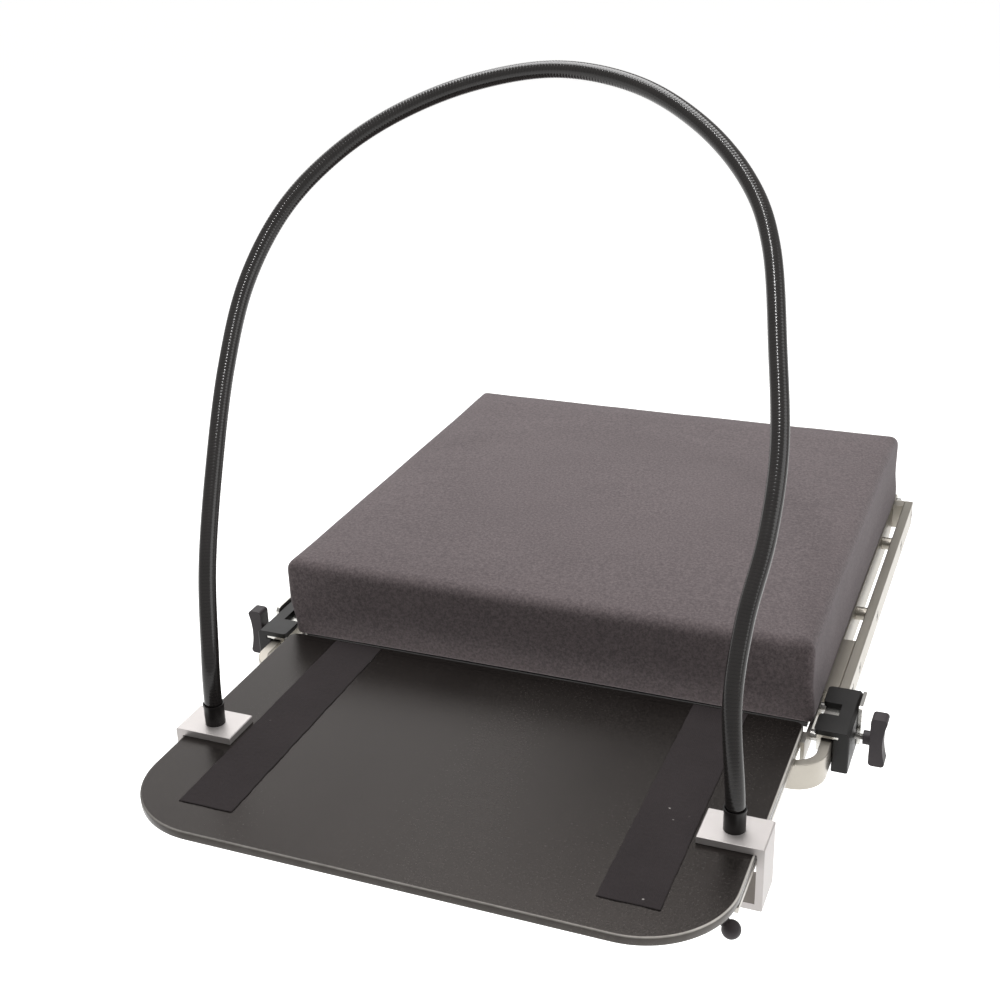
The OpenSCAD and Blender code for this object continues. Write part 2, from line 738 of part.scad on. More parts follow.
module press_pad() { translate([screw_x, arch_plane, board_z - press_t]) cylinder(d = press_d, h = press_t); }
module press_pad_left() { color("silver") hand(-1) press_pad(); }
module press_pad_right() { color("silver") hand(1) press_pad(); }

module clamp_screw() { translate([screw_x, arch_plane, hub_z]) cylinder(d = screw_d, h = board_z - press_t - hub_z); }
module clamp_screw_left() { color("silver") hand(-1) clamp_screw(); }
module clamp_screw_right() { color("silver") hand(1) clamp_screw(); }

// Hub on the screw with a short tapered lever that ends in a ball
module ball_lever() {
    reach = norm(lever_end);
    turn = atan2(lever_end[1], lever_end[0]);
    dip = acos(lever_end[2] / reach);
    translate([screw_x, arch_plane, hub_z]) difference() {
        union() {
            translate([0, 0, -8]) cylinder(d = 15, h = 20);
            rotate([0, dip, turn]) cylinder(d1 = 12, d2 = 8, h = reach);
            translate(lever_end) sphere(d = ball_d);
        }
        cylinder(d = screw_d + 2 * press_gap, h = 20 + cut);
    }
}
module ball_lever_left() { color("black") hand(-1) ball_lever(); }
module ball_lever_right() { color("black") hand(1) ball_lever(); }

// ---- gooseneck arch ------------------------------------------------------------------------

// The bend that the arch is set to, as X and height above its feet, for feet 473.4 mm apart
hand_bend = [
    [-236.7, 0], [-240, 45], [-257, 110], [-275, 182], [-291, 255], [-296, 320], [-280, 378], [-243, 424],
    [-190, 460], [-120, 487], [-40, 499.5], [40, 489], [108, 460], [160, 420], [190, 375], [212, 305],
    [228, 242], [231, 185], [225, 130], [226, 75], [236.7, 0]
];
// The arch leans over the pad: its feet stand upright and the lean builds up above them
function lean_at(h) = tan(neck_lean) * (norm([h, lean_start]) - lean_start);
bend = [for (p = hand_bend) [p[0] * foot_x / hand_bend[len(hand_bend) - 1][0], lean_at(p[1]), p[1]]];
bend_n = len(bend);
// Neighbours past the ends stand straight below the feet
function knot(i) = i < 0 ? bend[0] - [0, 0, 60] : i >= bend_n ? bend[bend_n - 1] - [0, 0, 60] : bend[i];
// Cubic through the points: p1 to p2, shaped by their neighbours
function blend_at(p0, p1, p2, p3, t) = 0.5 * (2 * p1 + (p2 - p0) * t
    + (2 * p0 - 5 * p1 + 4 * p2 - p3) * pow(t, 2) + (3 * p1 - p0 - 3 * p2 + p3) * pow(t, 3));
bend_steps = 10;
curve = [
    for (i = [0:bend_n - 2], j = [0:bend_steps - 1])
        blend_at(knot(i - 1), knot(i), knot(i + 1), knot(i + 2), j / bend_steps),
    bend[bend_n - 1]
];
// Running length along the curve, and the look-up tables that place a ring by it
function running(points) = [
    for (i = 0, s = 0; i < len(points); s = s + (i + 1 < len(points) ? norm(points[i + 1] - points[i]) : 0), i = i + 1) s
];
run_s = running(curve);
neck_l = run_s[len(run_s) - 1];
tables = [for (k = [0:2]) [for (i = [0:len(curve) - 1]) [run_s[i], curve[i][k]]]];
// Past the two ends the neck goes on straight down
function at(s) = let (over = s < 0 ? -s : s > neck_l ? s - neck_l : 0)
    [for (table = tables) lookup(s, table)] - [0, 0, over];
neck_sides = 8;
function neck_ring(s, r) = let (
    step = 3, d = at(s + step) - at(s - step), t = d / norm(d), p = at(s) + [0, arch_plane, foot_z],
    back = [0, 1, 0] - t[1] * t, n = back / norm(back), m = cross(n, t)
) [for (i = [0:neck_sides - 1]) let (a = 360 * (i + 0.5) / neck_sides) p + r * (cos(a) * m + sin(a) * n)];

// Closed skin over a loop of rings: the last ring joins the first, as in a tube with a bore
module ring_loop(rings) {
    n = len(rings[0]);
    m = len(rings);
    polyhedron(
        points = [for (ring = rings) each ring],
        faces = [for (k = [0:m - 1], i = [0:n - 1]) let (j = (i + 1) % n, l = (k + 1) % m)
            each [[k * n + i, k * n + j, l * n + j], [k * n + i, l * n + j, l * n + i]]]
    );
}

end_dip = neck_r / 2;                                      // how far the round ends go below their centre
rib_pitch = neck_l / rib_count;
bore_rings = 64;
function bore_s(i) = -end_dip + (neck_l + 2 * end_dip) * i / bore_rings;
module gooseneck_sheath() {
    round_end = [for (a = [30, 15]) [-neck_r * sin(a), neck_r * cos(a)]];
    ribs = [for (i = [0:rib_count - 1]) each
        [[(i + 0.25) * rib_pitch, neck_r], [(i + 0.75) * rib_pitch, neck_r - rib_depth]]];
    outer = concat(round_end, ribs, [for (i = [1, 0]) [neck_l - round_end[i][0], round_end[i][1]]]);
    color("black") ring_loop(concat(
        [for (ring = outer) neck_ring(ring[0], ring[1])],
        [for (i = [bore_rings:-1:0]) neck_ring(bore_s(i), bore_r)]
    ));
}
module gooseneck_core() {
    color("gray") loft([for (i = [bore_rings:-1:0]) neck_ring(bore_s(i), core_r)]);
}

hinge_brackets();
hinge_shaft();
shaft_collars();
side_plate_left();
side_plate_right();
deck_panel();
cross_rails();
accessory_rail_left();
accessory_rail_right();
front_blocks();
rear_blocks();
rail_spacers();
rail_screws();
head_end_bar();
deck_screws();
deck_tapes();
cushion_cover();
cushion_foam();
cushion_base();
cushion_tapes();
rest_board();
board_tapes();
board_arm_left();
board_arm_right();
board_screws();
hook_spacers();
hook_screws();
rail_hook_left();
rail_hook_right();
clamp_body_left();
clamp_body_right();
clamp_plate_left();
clamp_plate_right();
clamp_pad_left();
clamp_pad_right();
knob_stud_left();
knob_stud_right();
rail_knob_left();
rail_knob_right();
arch_clamp_left();
arch_clamp_right();
arch_ferrule_left();
arch_ferrule_right();
press_pad_left();
press_pad_right();
clamp_screw_left();
clamp_screw_right();
ball_lever_left();
ball_lever_right();
gooseneck_sheath();
gooseneck_core();
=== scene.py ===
"""Looks of a treatment table's head section: pad, railed frame, hand rest board and gooseneck arch.

Every node of the frame gets a procedural finish. The soft pad, the board with its tapes, the
ribbed arch and the threaded screws are modelled here as surfaces; the hard parts with sharp
edges are copied and get their edges broken. All lengths are metres, in the frame of the part,
unless a comment says millimetres.
"""

import json
import logging
import math
from dataclasses import dataclass
from enum import Enum
from functools import cache
from typing import Any, Callable, Optional, Sequence, Union

import bmesh
import bpy
import numpy as np
from mathutils import Matrix, Vector


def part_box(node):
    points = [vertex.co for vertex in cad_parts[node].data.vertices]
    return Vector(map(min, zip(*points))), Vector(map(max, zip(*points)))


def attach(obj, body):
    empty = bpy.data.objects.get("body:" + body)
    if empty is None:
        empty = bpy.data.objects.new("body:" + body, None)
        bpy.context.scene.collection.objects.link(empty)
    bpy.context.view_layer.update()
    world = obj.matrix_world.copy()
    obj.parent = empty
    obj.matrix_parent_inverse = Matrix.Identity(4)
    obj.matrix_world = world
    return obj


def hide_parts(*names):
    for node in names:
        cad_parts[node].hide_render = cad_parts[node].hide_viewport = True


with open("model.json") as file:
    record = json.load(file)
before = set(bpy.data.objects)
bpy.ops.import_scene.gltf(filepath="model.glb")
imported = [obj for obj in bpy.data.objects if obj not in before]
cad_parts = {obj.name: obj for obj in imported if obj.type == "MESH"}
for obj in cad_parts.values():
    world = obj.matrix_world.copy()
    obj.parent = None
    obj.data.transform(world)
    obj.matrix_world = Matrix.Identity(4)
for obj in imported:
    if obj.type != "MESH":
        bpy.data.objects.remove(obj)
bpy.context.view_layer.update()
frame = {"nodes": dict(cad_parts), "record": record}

MM = 0.001
SLOT_OF = {part["node"]: part["material_slot"] for part in frame["record"]["subparts"]}
BODY_OF = {node: body for body, nodes in frame["record"]["behaviour"]["bodies"].items() for node in nodes}
SIDES = ("left", "right")
# points closer than this are one, and faces that turn by less are one, before edges are broken
WELD = 0.002 * MM
FLAT = math.radians(0.5)

log = logging.getLogger("head_section")

Operand = Union["Value", float]
Colour = tuple[float, float, float]


# ---- shader graphs ---------------------------------------------------------------------------


def math_node(operation: str, swapped: bool = False) -> Callable[..., "Value"]:
    """A method that adds one Math node; its other operands come before its own value if swapped."""

    def method(self: "Value", *others: Operand) -> "Value":
        operands = (*others, self) if swapped else (self, *others)
        return self.graph.node("ShaderNodeMath", {"operation": operation}, *operands)

    return method


class Value:
    """A socket that carries a number; arithmetic on it adds Math nodes to its graph."""

    def __init__(self, graph: "Graph", socket: bpy.types.NodeSocket) -> None:
        """Keeps the output socket that holds the number, and the graph that new nodes go into."""
        self.graph = graph
        self.socket = socket

    __add__ = __radd__ = math_node("ADD")
    __mul__ = math_node("MULTIPLY")
    __sub__ = math_node("SUBTRACT")
    __rsub__ = math_node("SUBTRACT", swapped=True)
    wave = math_node("SINE")

    def clamp(self) -> "Value":
        """The value held between 0 and 1."""
        return self.graph.node("ShaderNodeClamp", {}, self)

    def above(self, edge: float, width: float) -> "Value":
        """0 below edge, 1 above edge + width, straight in between."""
        return ((self - edge) * (1.0 / width)).clamp()


class Graph:
    """The node graph of one material, with the few node patterns that the finishes share."""

    def __init__(self, name: str) -> None:
        """Starts an empty material of that name."""
        self.material = bpy.data.materials.new(name)
        self.material.use_nodes = True
        self.tree = self.material.node_tree
        self.tree.nodes.clear()
        coords = self.tree.nodes.new("ShaderNodeTexCoord")
        self.place = Value(self, coords.outputs["Object"])

    def node(self, kind: str, settings: dict[str, Any], *values: Any, out: int = 0, **named: Any) -> Value:
        """Adds one node of any type.

        Args:
            kind: Blender's name for the node type.
            settings: Properties of the node, set before its sockets.
            *values: Values or links of its first sockets, in order.
            out: Index of the output that is returned.
            **named: Values or links of sockets by name, with _ for a space.

        Returns:
            The chosen output.
        """
        made = self.tree.nodes.new(kind)
        for key, value in settings.items():
            setattr(made, key, value)
        for socket, value in zip(made.inputs, values):
            self.feed(socket, value)
        for key, value in named.items():
            self.feed(made.inputs[key.replace("_", " ")], value)
        return Value(self, made.outputs[out])

    def feed(self, socket: bpy.types.NodeSocket, value: Any) -> None:
        """Links a value to a socket, or sets the socket to a number, vector or plain colour."""
        if isinstance(value, Value):
            self.tree.links.new(value.socket, socket)
        elif isinstance(value, tuple):
            socket.default_value = (*value, 1.0)[: len(socket.default_value)]
        else:
            socket.default_value = value

    def stretched(self, scale: tuple[float, float, float]) -> Value:
        """The object's coordinates scaled by their own factor on each axis."""
        return self.node("ShaderNodeMapping", {"vector_type": "POINT"}, self.place, Scale=scale)

    def noise(self, scale: float, detail: float = 3.0, rough: float = 0.55, place: Optional[Value] = None) -> Value:
        """Fractal noise of about 0 to 1, with scale features per metre and detail octaves."""
        sockets = {"Scale": scale, "Detail": detail, "Roughness": rough}
        return self.node("ShaderNodeTexNoise", {}, place or self.place, **sockets)

    def cells(self, scale: float, place: Optional[Value] = None) -> Value:
        """Distance to the nearest of scattered points, scale of them per metre."""
        return self.node("ShaderNodeTexVoronoi", {}, place or self.place, Scale=scale)

    def axis(self, index: int) -> Value:
        """One of the object's coordinates, 0 for X, 1 for Y, 2 for Z."""
        return self.node("ShaderNodeSeparateXYZ", {}, self.place, out=index)

    def attribute(self, name: str) -> Value:
        """A number stored on the mesh's points."""
        return self.node("ShaderNodeAttribute", {"attribute_name": name}, out=2)

    def mix(self, share: Union[Value, float], first: Any, second: Any) -> Value:
        """A colour between two, by share."""
        made = self.tree.nodes.new("ShaderNodeMix")
        made.data_type = "RGBA"
        for socket, value in zip((made.inputs[0], made.inputs[6], made.inputs[7]), (share, first, second)):
            self.feed(socket, value)
        return Value(self, made.outputs[2])

    def bump(self, height: Value, distance: float, strength: float = 1.0, under: Optional[Value] = None) -> Value:
        """A normal bent by a height, where 1 stands for that distance, on top of a normal under it."""
        sockets: dict[str, Any] = {"Height": height, "Distance": distance, "Strength": strength}
        if under is not None:
            sockets["Normal"] = under
        return self.node("ShaderNodeBump", {}, **sockets)

    def surface(self, **sockets: Any) -> bpy.types.Material:
        """Closes the graph with one principled shader, given its sockets, and returns the material."""
        shader = self.tree.nodes.new("ShaderNodeBsdfPrincipled")
        for key, value in sockets.items():
            self.feed(shader.inputs[key.replace("_", " ")], value)
        output = self.tree.nodes.new("ShaderNodeOutputMaterial")
        self.tree.links.new(shader.outputs[0], output.inputs[0])
        return self.material


# ---- finishes --------------------------------------------------------------------------------


@dataclass(frozen=True)
class SuedePad:
    """Matt, dense cover of the pad: a fine speckled nap with soft, wide shade changes."""

    colour: Colour = (0.129, 0.106, 0.108)
    dark: Colour = (0.065, 0.053, 0.055)

    def fill(self, g: Graph) -> bpy.types.Material:
        """Fills an empty material with this look."""
        grain = g.noise(360.0, 3.0, 0.85)
        clouds = g.noise(9.0, 3.0, 0.5)
        speckle = g.cells(900.0)
        tone = (grain * 3.4 + speckle * 0.35 + clouds * 0.35 - 1.60).clamp()
        nap = g.bump(grain + speckle * 0.5, 0.10 * MM, 0.55)
        soft = g.bump(g.noise(26.0, 2.0, 0.4), 0.5 * MM, 0.35, nap)
        return g.surface(
            Base_Color=g.mix(tone, self.dark, self.colour),
            Roughness=0.86 + grain * 0.10,
            Specular_IOR_Level=0.22,
            Sheen_Weight=0.20,
            Sheen_Roughness=0.45,
            Sheen_Tint=(0.85, 0.82, 0.86),
            Normal=soft,
        )


@dataclass(frozen=True)
class Laminate:
    """Satin black board face: fine crossed grain, wiped streaks, and edges painted lighter for wear and as a
    highlight.
    """

    colour: Colour = (0.0040, 0.0034, 0.0031)
    streak: Colour = (0.0220, 0.0190, 0.0176)
    lit_worn_edge: Colour = (0.46, 0.44, 0.41)

    def fill(self, g: Graph) -> bpy.types.Material:
        """Fills an empty material with this look."""
        along = g.axis(1) * (2 * math.pi / (1.5 * MM))
        across = g.axis(0) * (2 * math.pi / (1.5 * MM))
        haze = g.noise(420.0, 3.0, 0.8)
        grain = along.wave() * 0.18 + across.wave() * 0.18 + haze * 0.7
        wiped = g.noise(7.0, 5.0, 0.62, g.stretched((1.0, 0.35, 1.0)))
        # the lighter edge colour is partly wear and partly a painted highlight on the board's top edge
        wear = (g.attribute("edge_wear") * (0.55 + g.noise(60.0, 3.0) * 0.9)).clamp()
        tone = (wiped * 0.5 + haze * 1.9 - 0.90).clamp()
        plain = g.mix(tone, self.colour, self.streak)
        return g.surface(
            Base_Color=g.mix(wear, plain, self.lit_worn_edge),
            Roughness=(0.13 + wiped * 0.10 + haze * 0.14).clamp(),
            Specular_IOR_Level=0.25,
            Specular_Tint=(1.0, 0.86, 0.79),
            Normal=g.bump(grain, 0.10 * MM, 0.6),
        )


@dataclass(frozen=True)
class HookTape:
    """Black hook tape: dull, with rows of hooks and a few caught bits of lint."""

    colour: Colour = (0.014, 0.0110, 0.0115)
    tip: Colour = (0.038, 0.0305, 0.0320)
    lint: Colour = (0.42, 0.40, 0.38)

    def fill(self, g: Graph) -> bpy.types.Material:
        """Fills an empty material with this look."""
        fuzz = g.noise(1500.0, 3.0, 0.7)
        rows = (g.axis(0) * (2 * math.pi / (1.6 * MM))).wave() * 0.5 + 0.5
        patches = g.noise(14.0, 3.0, 0.6)
        near = g.cells(46.0, g.stretched((1.0, 1.4, 1.0)))
        bits = (1.0 - near.above(0.030, 0.035)) * g.noise(33.0, 1.0).above(0.56, 0.05)
        tone = (fuzz * 0.8 + patches * 0.5 - 0.35).clamp()
        return g.surface(
            Base_Color=g.mix(bits * 0.8, g.mix(tone, self.colour, self.tip), self.lint),
            Roughness=0.92,
            Specular_IOR_Level=0.25,
            Normal=g.bump(fuzz + rows * 0.5, 0.3 * MM, 0.8),
        )


class Lay(Enum):
    """Direction of the fine lines that a metal finish leaves."""

    ALONG_X = (4.0, 900.0, 900.0)
    ALONG_Y = (900.0, 4.0, 900.0)
    BLASTED = (900.0, 900.0, 900.0)


@dataclass(frozen=True)
class SatinMetal:
    """Bare or anodised metal with fine drawn lines, faint stains and rubbed patches."""

    colour: Colour
    stain: Colour
    rough: float
    lay: Lay = Lay.ALONG_Y
    metallic: float = 1.0
    line_depth: float = 0.03 * MM

    def fill(self, g: Graph) -> bpy.types.Material:
        """Fills an empty material with this look."""
        lines = g.noise(1.0, 3.0, 0.6, g.stretched(self.lay.value))
        stains = g.noise(24.0, 4.0, 0.6)
        rubbed = g.noise(7.0, 2.0, 0.5)
        tone = (stains * 0.9 + lines * 0.35 - 0.25).clamp()
        return g.surface(
            Base_Color=g.mix(tone, self.stain, self.colour),
            Metallic=self.metallic,
            Roughness=(self.rough + (lines - 0.5) * 0.12 + (rubbed - 0.5) * 0.16).clamp(),
            Normal=g.bump(lines, self.line_depth, 0.4),
        )


@dataclass(frozen=True)
class Moulded:
    """Dark moulded plastic or rubber with a fine spark-eroded texture."""

    colour: Colour
    light: Colour
    rough: float
    grain: float = 1400.0
    depth: float = 0.06 * MM

    def fill(self, g: Graph) -> bpy.types.Material:
        """Fills an empty material with this look."""
        grain = g.noise(self.grain, 3.0, 0.65)
        dust = g.noise(40.0, 4.0, 0.6)
        return g.surface(
            Base_Color=g.mix((dust * 0.9 + grain * 0.4 - 0.35).clamp(), self.colour, self.light),
            Roughness=(self.rough + (dust - 0.5) * 0.22 + (grain - 0.5) * 0.08).clamp(),
            Specular_IOR_Level=0.28,
            Normal=g.bump(grain, self.depth, 0.45),
        )


@dataclass(frozen=True)
class Plywood:
    """Raw birch plywood: face grain along Y and stacked plies on its edges."""

    pale: Colour = (0.58, 0.43, 0.26)
    dark: Colour = (0.34, 0.22, 0.12)
    ply: float = 1.5 * MM

    def fill(self, g: Graph) -> bpy.types.Material:
        """Fills an empty material with this look."""
        fibres = g.noise(1.0, 4.0, 0.6, g.stretched((420.0, 9.0, 40.0)))
        rings = g.noise(1.0, 2.0, 0.5, g.stretched((22.0, 2.4, 22.0)))
        plies = (g.axis(2) * (math.pi / self.ply)).wave() * 0.5 + 0.5
        tone = (fibres * 0.6 + rings * 0.7 + plies * 0.25 - 0.35).clamp()
        return g.surface(
            Base_Color=g.mix(tone, self.dark, self.pale),
            Roughness=0.72 + fibres * 0.15,
            Normal=g.bump(fibres, 0.15 * MM, 0.4),
        )


@dataclass(frozen=True)
class Foam:
    """Open-cell foam."""

    pale: Colour = (0.78, 0.70, 0.46)
    dark: Colour = (0.50, 0.42, 0.25)

    def fill(self, g: Graph) -> bpy.types.Material:
        """Fills an empty material with this look."""
        pores = g.cells(700.0)
        return g.surface(
            Base_Color=g.mix((pores * 1.4).clamp(), self.dark, self.pale),
            Roughness=0.95,
            Normal=g.bump(pores, 0.4 * MM, 0.8),
        )


@dataclass(frozen=True)
class ArchSheath:
    """Black vinyl over the gooseneck: satin, rubbed lighter on its ribs, a little dusty."""

    colour: Colour = (0.0095, 0.0083, 0.0080)
    rubbed: Colour = (0.026, 0.0235, 0.0225)

    def fill(self, g: Graph) -> bpy.types.Material:
        """Fills an empty material with this look."""
        dust = g.noise(30.0, 4.0, 0.6)
        grain = g.noise(1100.0, 2.0, 0.6)
        crest = g.attribute("crest")
        tone = (dust * 0.7 + crest * 0.35 - 0.25).clamp()
        return g.surface(
            Base_Color=g.mix(tone, self.colour, self.rubbed),
            Roughness=(0.12 + dust * 0.10 + grain * 0.05).clamp(),
            Specular_IOR_Level=0.50,
            Normal=g.bump(grain, 0.04 * MM, 0.35),
        )


FINISHES = {
    "painted_steel": Moulded((0.018, 0.018, 0.020), (0.042, 0.042, 0.044), 0.42, 700.0, 0.12 * MM),
    "steel_bright": SatinMetal((0.54, 0.53, 0.51), (0.38, 0.37, 0.35), 0.28, Lay.BLASTED),
    "steel_screws": SatinMetal((0.46, 0.45, 0.43), (0.30, 0.29, 0.27), 0.32, Lay.BLASTED),
    "side_plate_aluminium": SatinMetal((0.48, 0.45, 0.40), (0.36, 0.335, 0.29), 0.42),
    # deck panel nearly black, as dark anodised metal; its front edge under the pad also stands in for the shade
    # there, a painted shade
    "deck_aluminium": SatinMetal((0.030, 0.029, 0.029), (0.020, 0.019, 0.019), 0.50, Lay.ALONG_X, 0.4),
    "rail_stainless": SatinMetal((0.50, 0.47, 0.42), (0.38, 0.355, 0.31), 0.36),
    "hook_tape": HookTape(),
    "pad_cover": SuedePad(),
    "foam": Foam(),
    "plywood": Plywood(),
    "board_laminate": Laminate(),
    "arm_aluminium": SatinMetal((0.54, 0.52, 0.48), (0.42, 0.40, 0.37), 0.38),
    "hook_steel": SatinMetal((0.72, 0.71, 0.68), (0.55, 0.54, 0.51), 0.22),
    "clamp_plastic": Moulded((0.0070, 0.0066, 0.0064), (0.0180, 0.0168, 0.0160), 0.42),
    "knob_plastic": Moulded((0.0260, 0.0215, 0.0240), (0.0600, 0.0515, 0.0550), 0.50),
    "clamp_aluminium": SatinMetal((0.54, 0.51, 0.50), (0.45, 0.425, 0.415), 0.45, Lay.ALONG_X, 0.6),
    "ferrule_black": Moulded((0.0080, 0.0070, 0.0070), (0.0220, 0.0200, 0.0190), 0.32, 900.0, 0.03 * MM),
    "sheath_vinyl": ArchSheath(),
    "core_steel": SatinMetal((0.45, 0.45, 0.44), (0.30, 0.30, 0.29), 0.35, Lay.BLASTED),
}


@cache
def material_of(slot: str) -> bpy.types.Material:
    """The material of one of the record's slots, built at its first use."""
    return FINISHES[slot].fill(Graph(slot))


def dress(piece: bpy.types.Object, slot: str) -> None:
    """Gives a piece that slot's material and nothing else."""
    piece.data.materials.clear()
    piece.data.materials.append(material_of(slot))


# ---- meshes ----------------------------------------------------------------------------------


def mesh_of(name: str, points: np.ndarray, faces: Sequence[Sequence[int]]) -> bpy.types.Object:
    """Puts points, as rows of three, and faces into a new object at the origin, shaded smooth."""
    mesh = bpy.data.meshes.new(name)
    mesh.from_pydata(points.reshape(-1, 3).tolist(), [], [list(face) for face in faces])
    mesh.update()
    piece = bpy.data.objects.new(name, mesh)
    bpy.context.scene.collection.objects.link(piece)
    mesh.shade_smooth()
    return piece


def grid_faces(rows: int, columns: int, closed: bool = True) -> np.ndarray:
    """Quads between the points of a grid.

    Args:
        rows: Number of rows.
        columns: Points in each row.
        closed: Whether each row is a closed loop.

    Returns:
        One row of four indices for each quad: along the row, then to the next row.
    """
    i, j = np.meshgrid(np.arange(rows - 1), np.arange(columns if closed else columns - 1), indexing="ij")
    down, right = i + 1, (j + 1) % columns
    return np.stack(
        [i * columns + j, i * columns + right, down * columns + right, down * columns + j], axis=-1
    ).reshape(-1, 4)


def loft(name: str, rings: np.ndarray) -> bpy.types.Object:
    """A closed skin over a stack of rings, with a flat face on the first and on the last.

    The rings come as ring, place in the ring, coordinate.
    """
    count, steps = rings.shape[:2]
    faces = grid_faces(count, steps).tolist()
    faces.append(list(range(steps - 1, -1, -1)))
    faces.append(list(range((count - 1) * steps, count * steps)))
    return mesh_of(name, rings, faces)


def store(piece: bpy.types.Object, name: str, values: np.ndarray) -> None:
    """Stores one number for each point of a mesh under a name that a material can read."""
    made = piece.data.attributes.new(name, "FLOAT", "POINT")
    made.data.foreach_set("value", np.asarray(values, np.float32).ravel())


def box_of(node: str) -> tuple[np.ndarray, np.ndarray]:
    """The lowest and the highest corner of a node's box."""
    low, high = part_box(node)
    return np.array(low), np.array(high)


def outward(piece: bpy.types.Object) -> None:
    """Turns every face of a closed mesh outwards."""
    work = bmesh.new()
    work.from_mesh(piece.data)
    bmesh.ops.recalc_face_normals(work, faces=work.faces)
    work.to_mesh(piece.data)
    work.free()


def place_piece(piece: bpy.types.Object, slot: str, body: str, *stands_for: str) -> None:
    """Finishes a new piece: its slot's material, its body and the nodes that it stands for."""
    dress(piece, slot)
    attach(piece, body)
    if stands_for:
        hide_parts(*stands_for)
    log.info("%s: %d faces on %s", piece.name, len(piece.data.polygons), body)


def break_edges(node: str, width: float, segments: int = 2, angle: float = 32.0) -> None:
    """Replaces a hard node by a copy whose edges sharper than angle, in degrees, are rounded."""
    mesh = frame["nodes"][node].data.copy()
    work = bmesh.new()
    work.from_mesh(mesh)
    bmesh.ops.remove_doubles(work, verts=work.verts, dist=WELD)
    bmesh.ops.dissolve_limit(work, angle_limit=FLAT, verts=work.verts, edges=work.edges)
    work.to_mesh(mesh)
    work.free()
    if mesh.has_custom_normals:
        mesh.attributes.remove(mesh.attributes["custom_normal"])
    piece = bpy.data.objects.new(f"{node}_edged", mesh)
    bpy.context.scene.collection.objects.link(piece)
    mesh.shade_smooth()
    bevel = piece.modifiers.new("broken_edge", "BEVEL")
    bevel.width = width
    bevel.segments = segments
    bevel.limit_method = "ANGLE"
    bevel.angle_limit = math.radians(angle)
    bevel.harden_normals = True
    place_piece(piece, SLOT_OF[node], BODY_OF[node], node)


def ramp(value: np.ndarray, start: float, over: float) -> np.ndarray:
    """0 up to start, 1 from start + over on, straight in between."""
    return np.clip((value - start) / over, 0, 1)


def eased(t: np.ndarray) -> np.ndarray:
    """A share of 0 to 1 with a soft start and a soft end."""
    return t * t * (3 - 2 * t)


def hash_noise(points: np.ndarray, cell: float, seed: int) -> np.ndarray:
    """Smooth noise from -1 to 1 at points: random values on a lattice of cells, blended by eased weights."""
    rng = np.random.default_rng(seed)
    size = 64
    table = rng.uniform(-1.0, 1.0, (size, size, size))
    scaled = points / cell + 1000.0  # far from zero, so that no index is negative
    base = np.floor(scaled).astype(int)
    t = eased(scaled - base)
    total = np.zeros(len(points))
    for corner in np.ndindex(2, 2, 2):
        weight = np.prod(np.where(np.array(corner) == 1, t, 1 - t), axis=1)
        x, y, z = ((base + corner) % size).T
        total += weight * table[x, y, z]
    return total


# ---- head pad --------------------------------------------------------------------------------


# settings of the cover's cloth: a soft, hardly stretching cover over light pressure
PAD_CLOTH = {
    "quality": 4,
    "mass": 0.35,
    "tension_stiffness": 40,
    "compression_stiffness": 40,
    "shear_stiffness": 18,
    "bending_stiffness": 18,
    "use_pressure": True,
    "uniform_pressure_force": 2.4,
    "vertex_group_mass": "held",
}


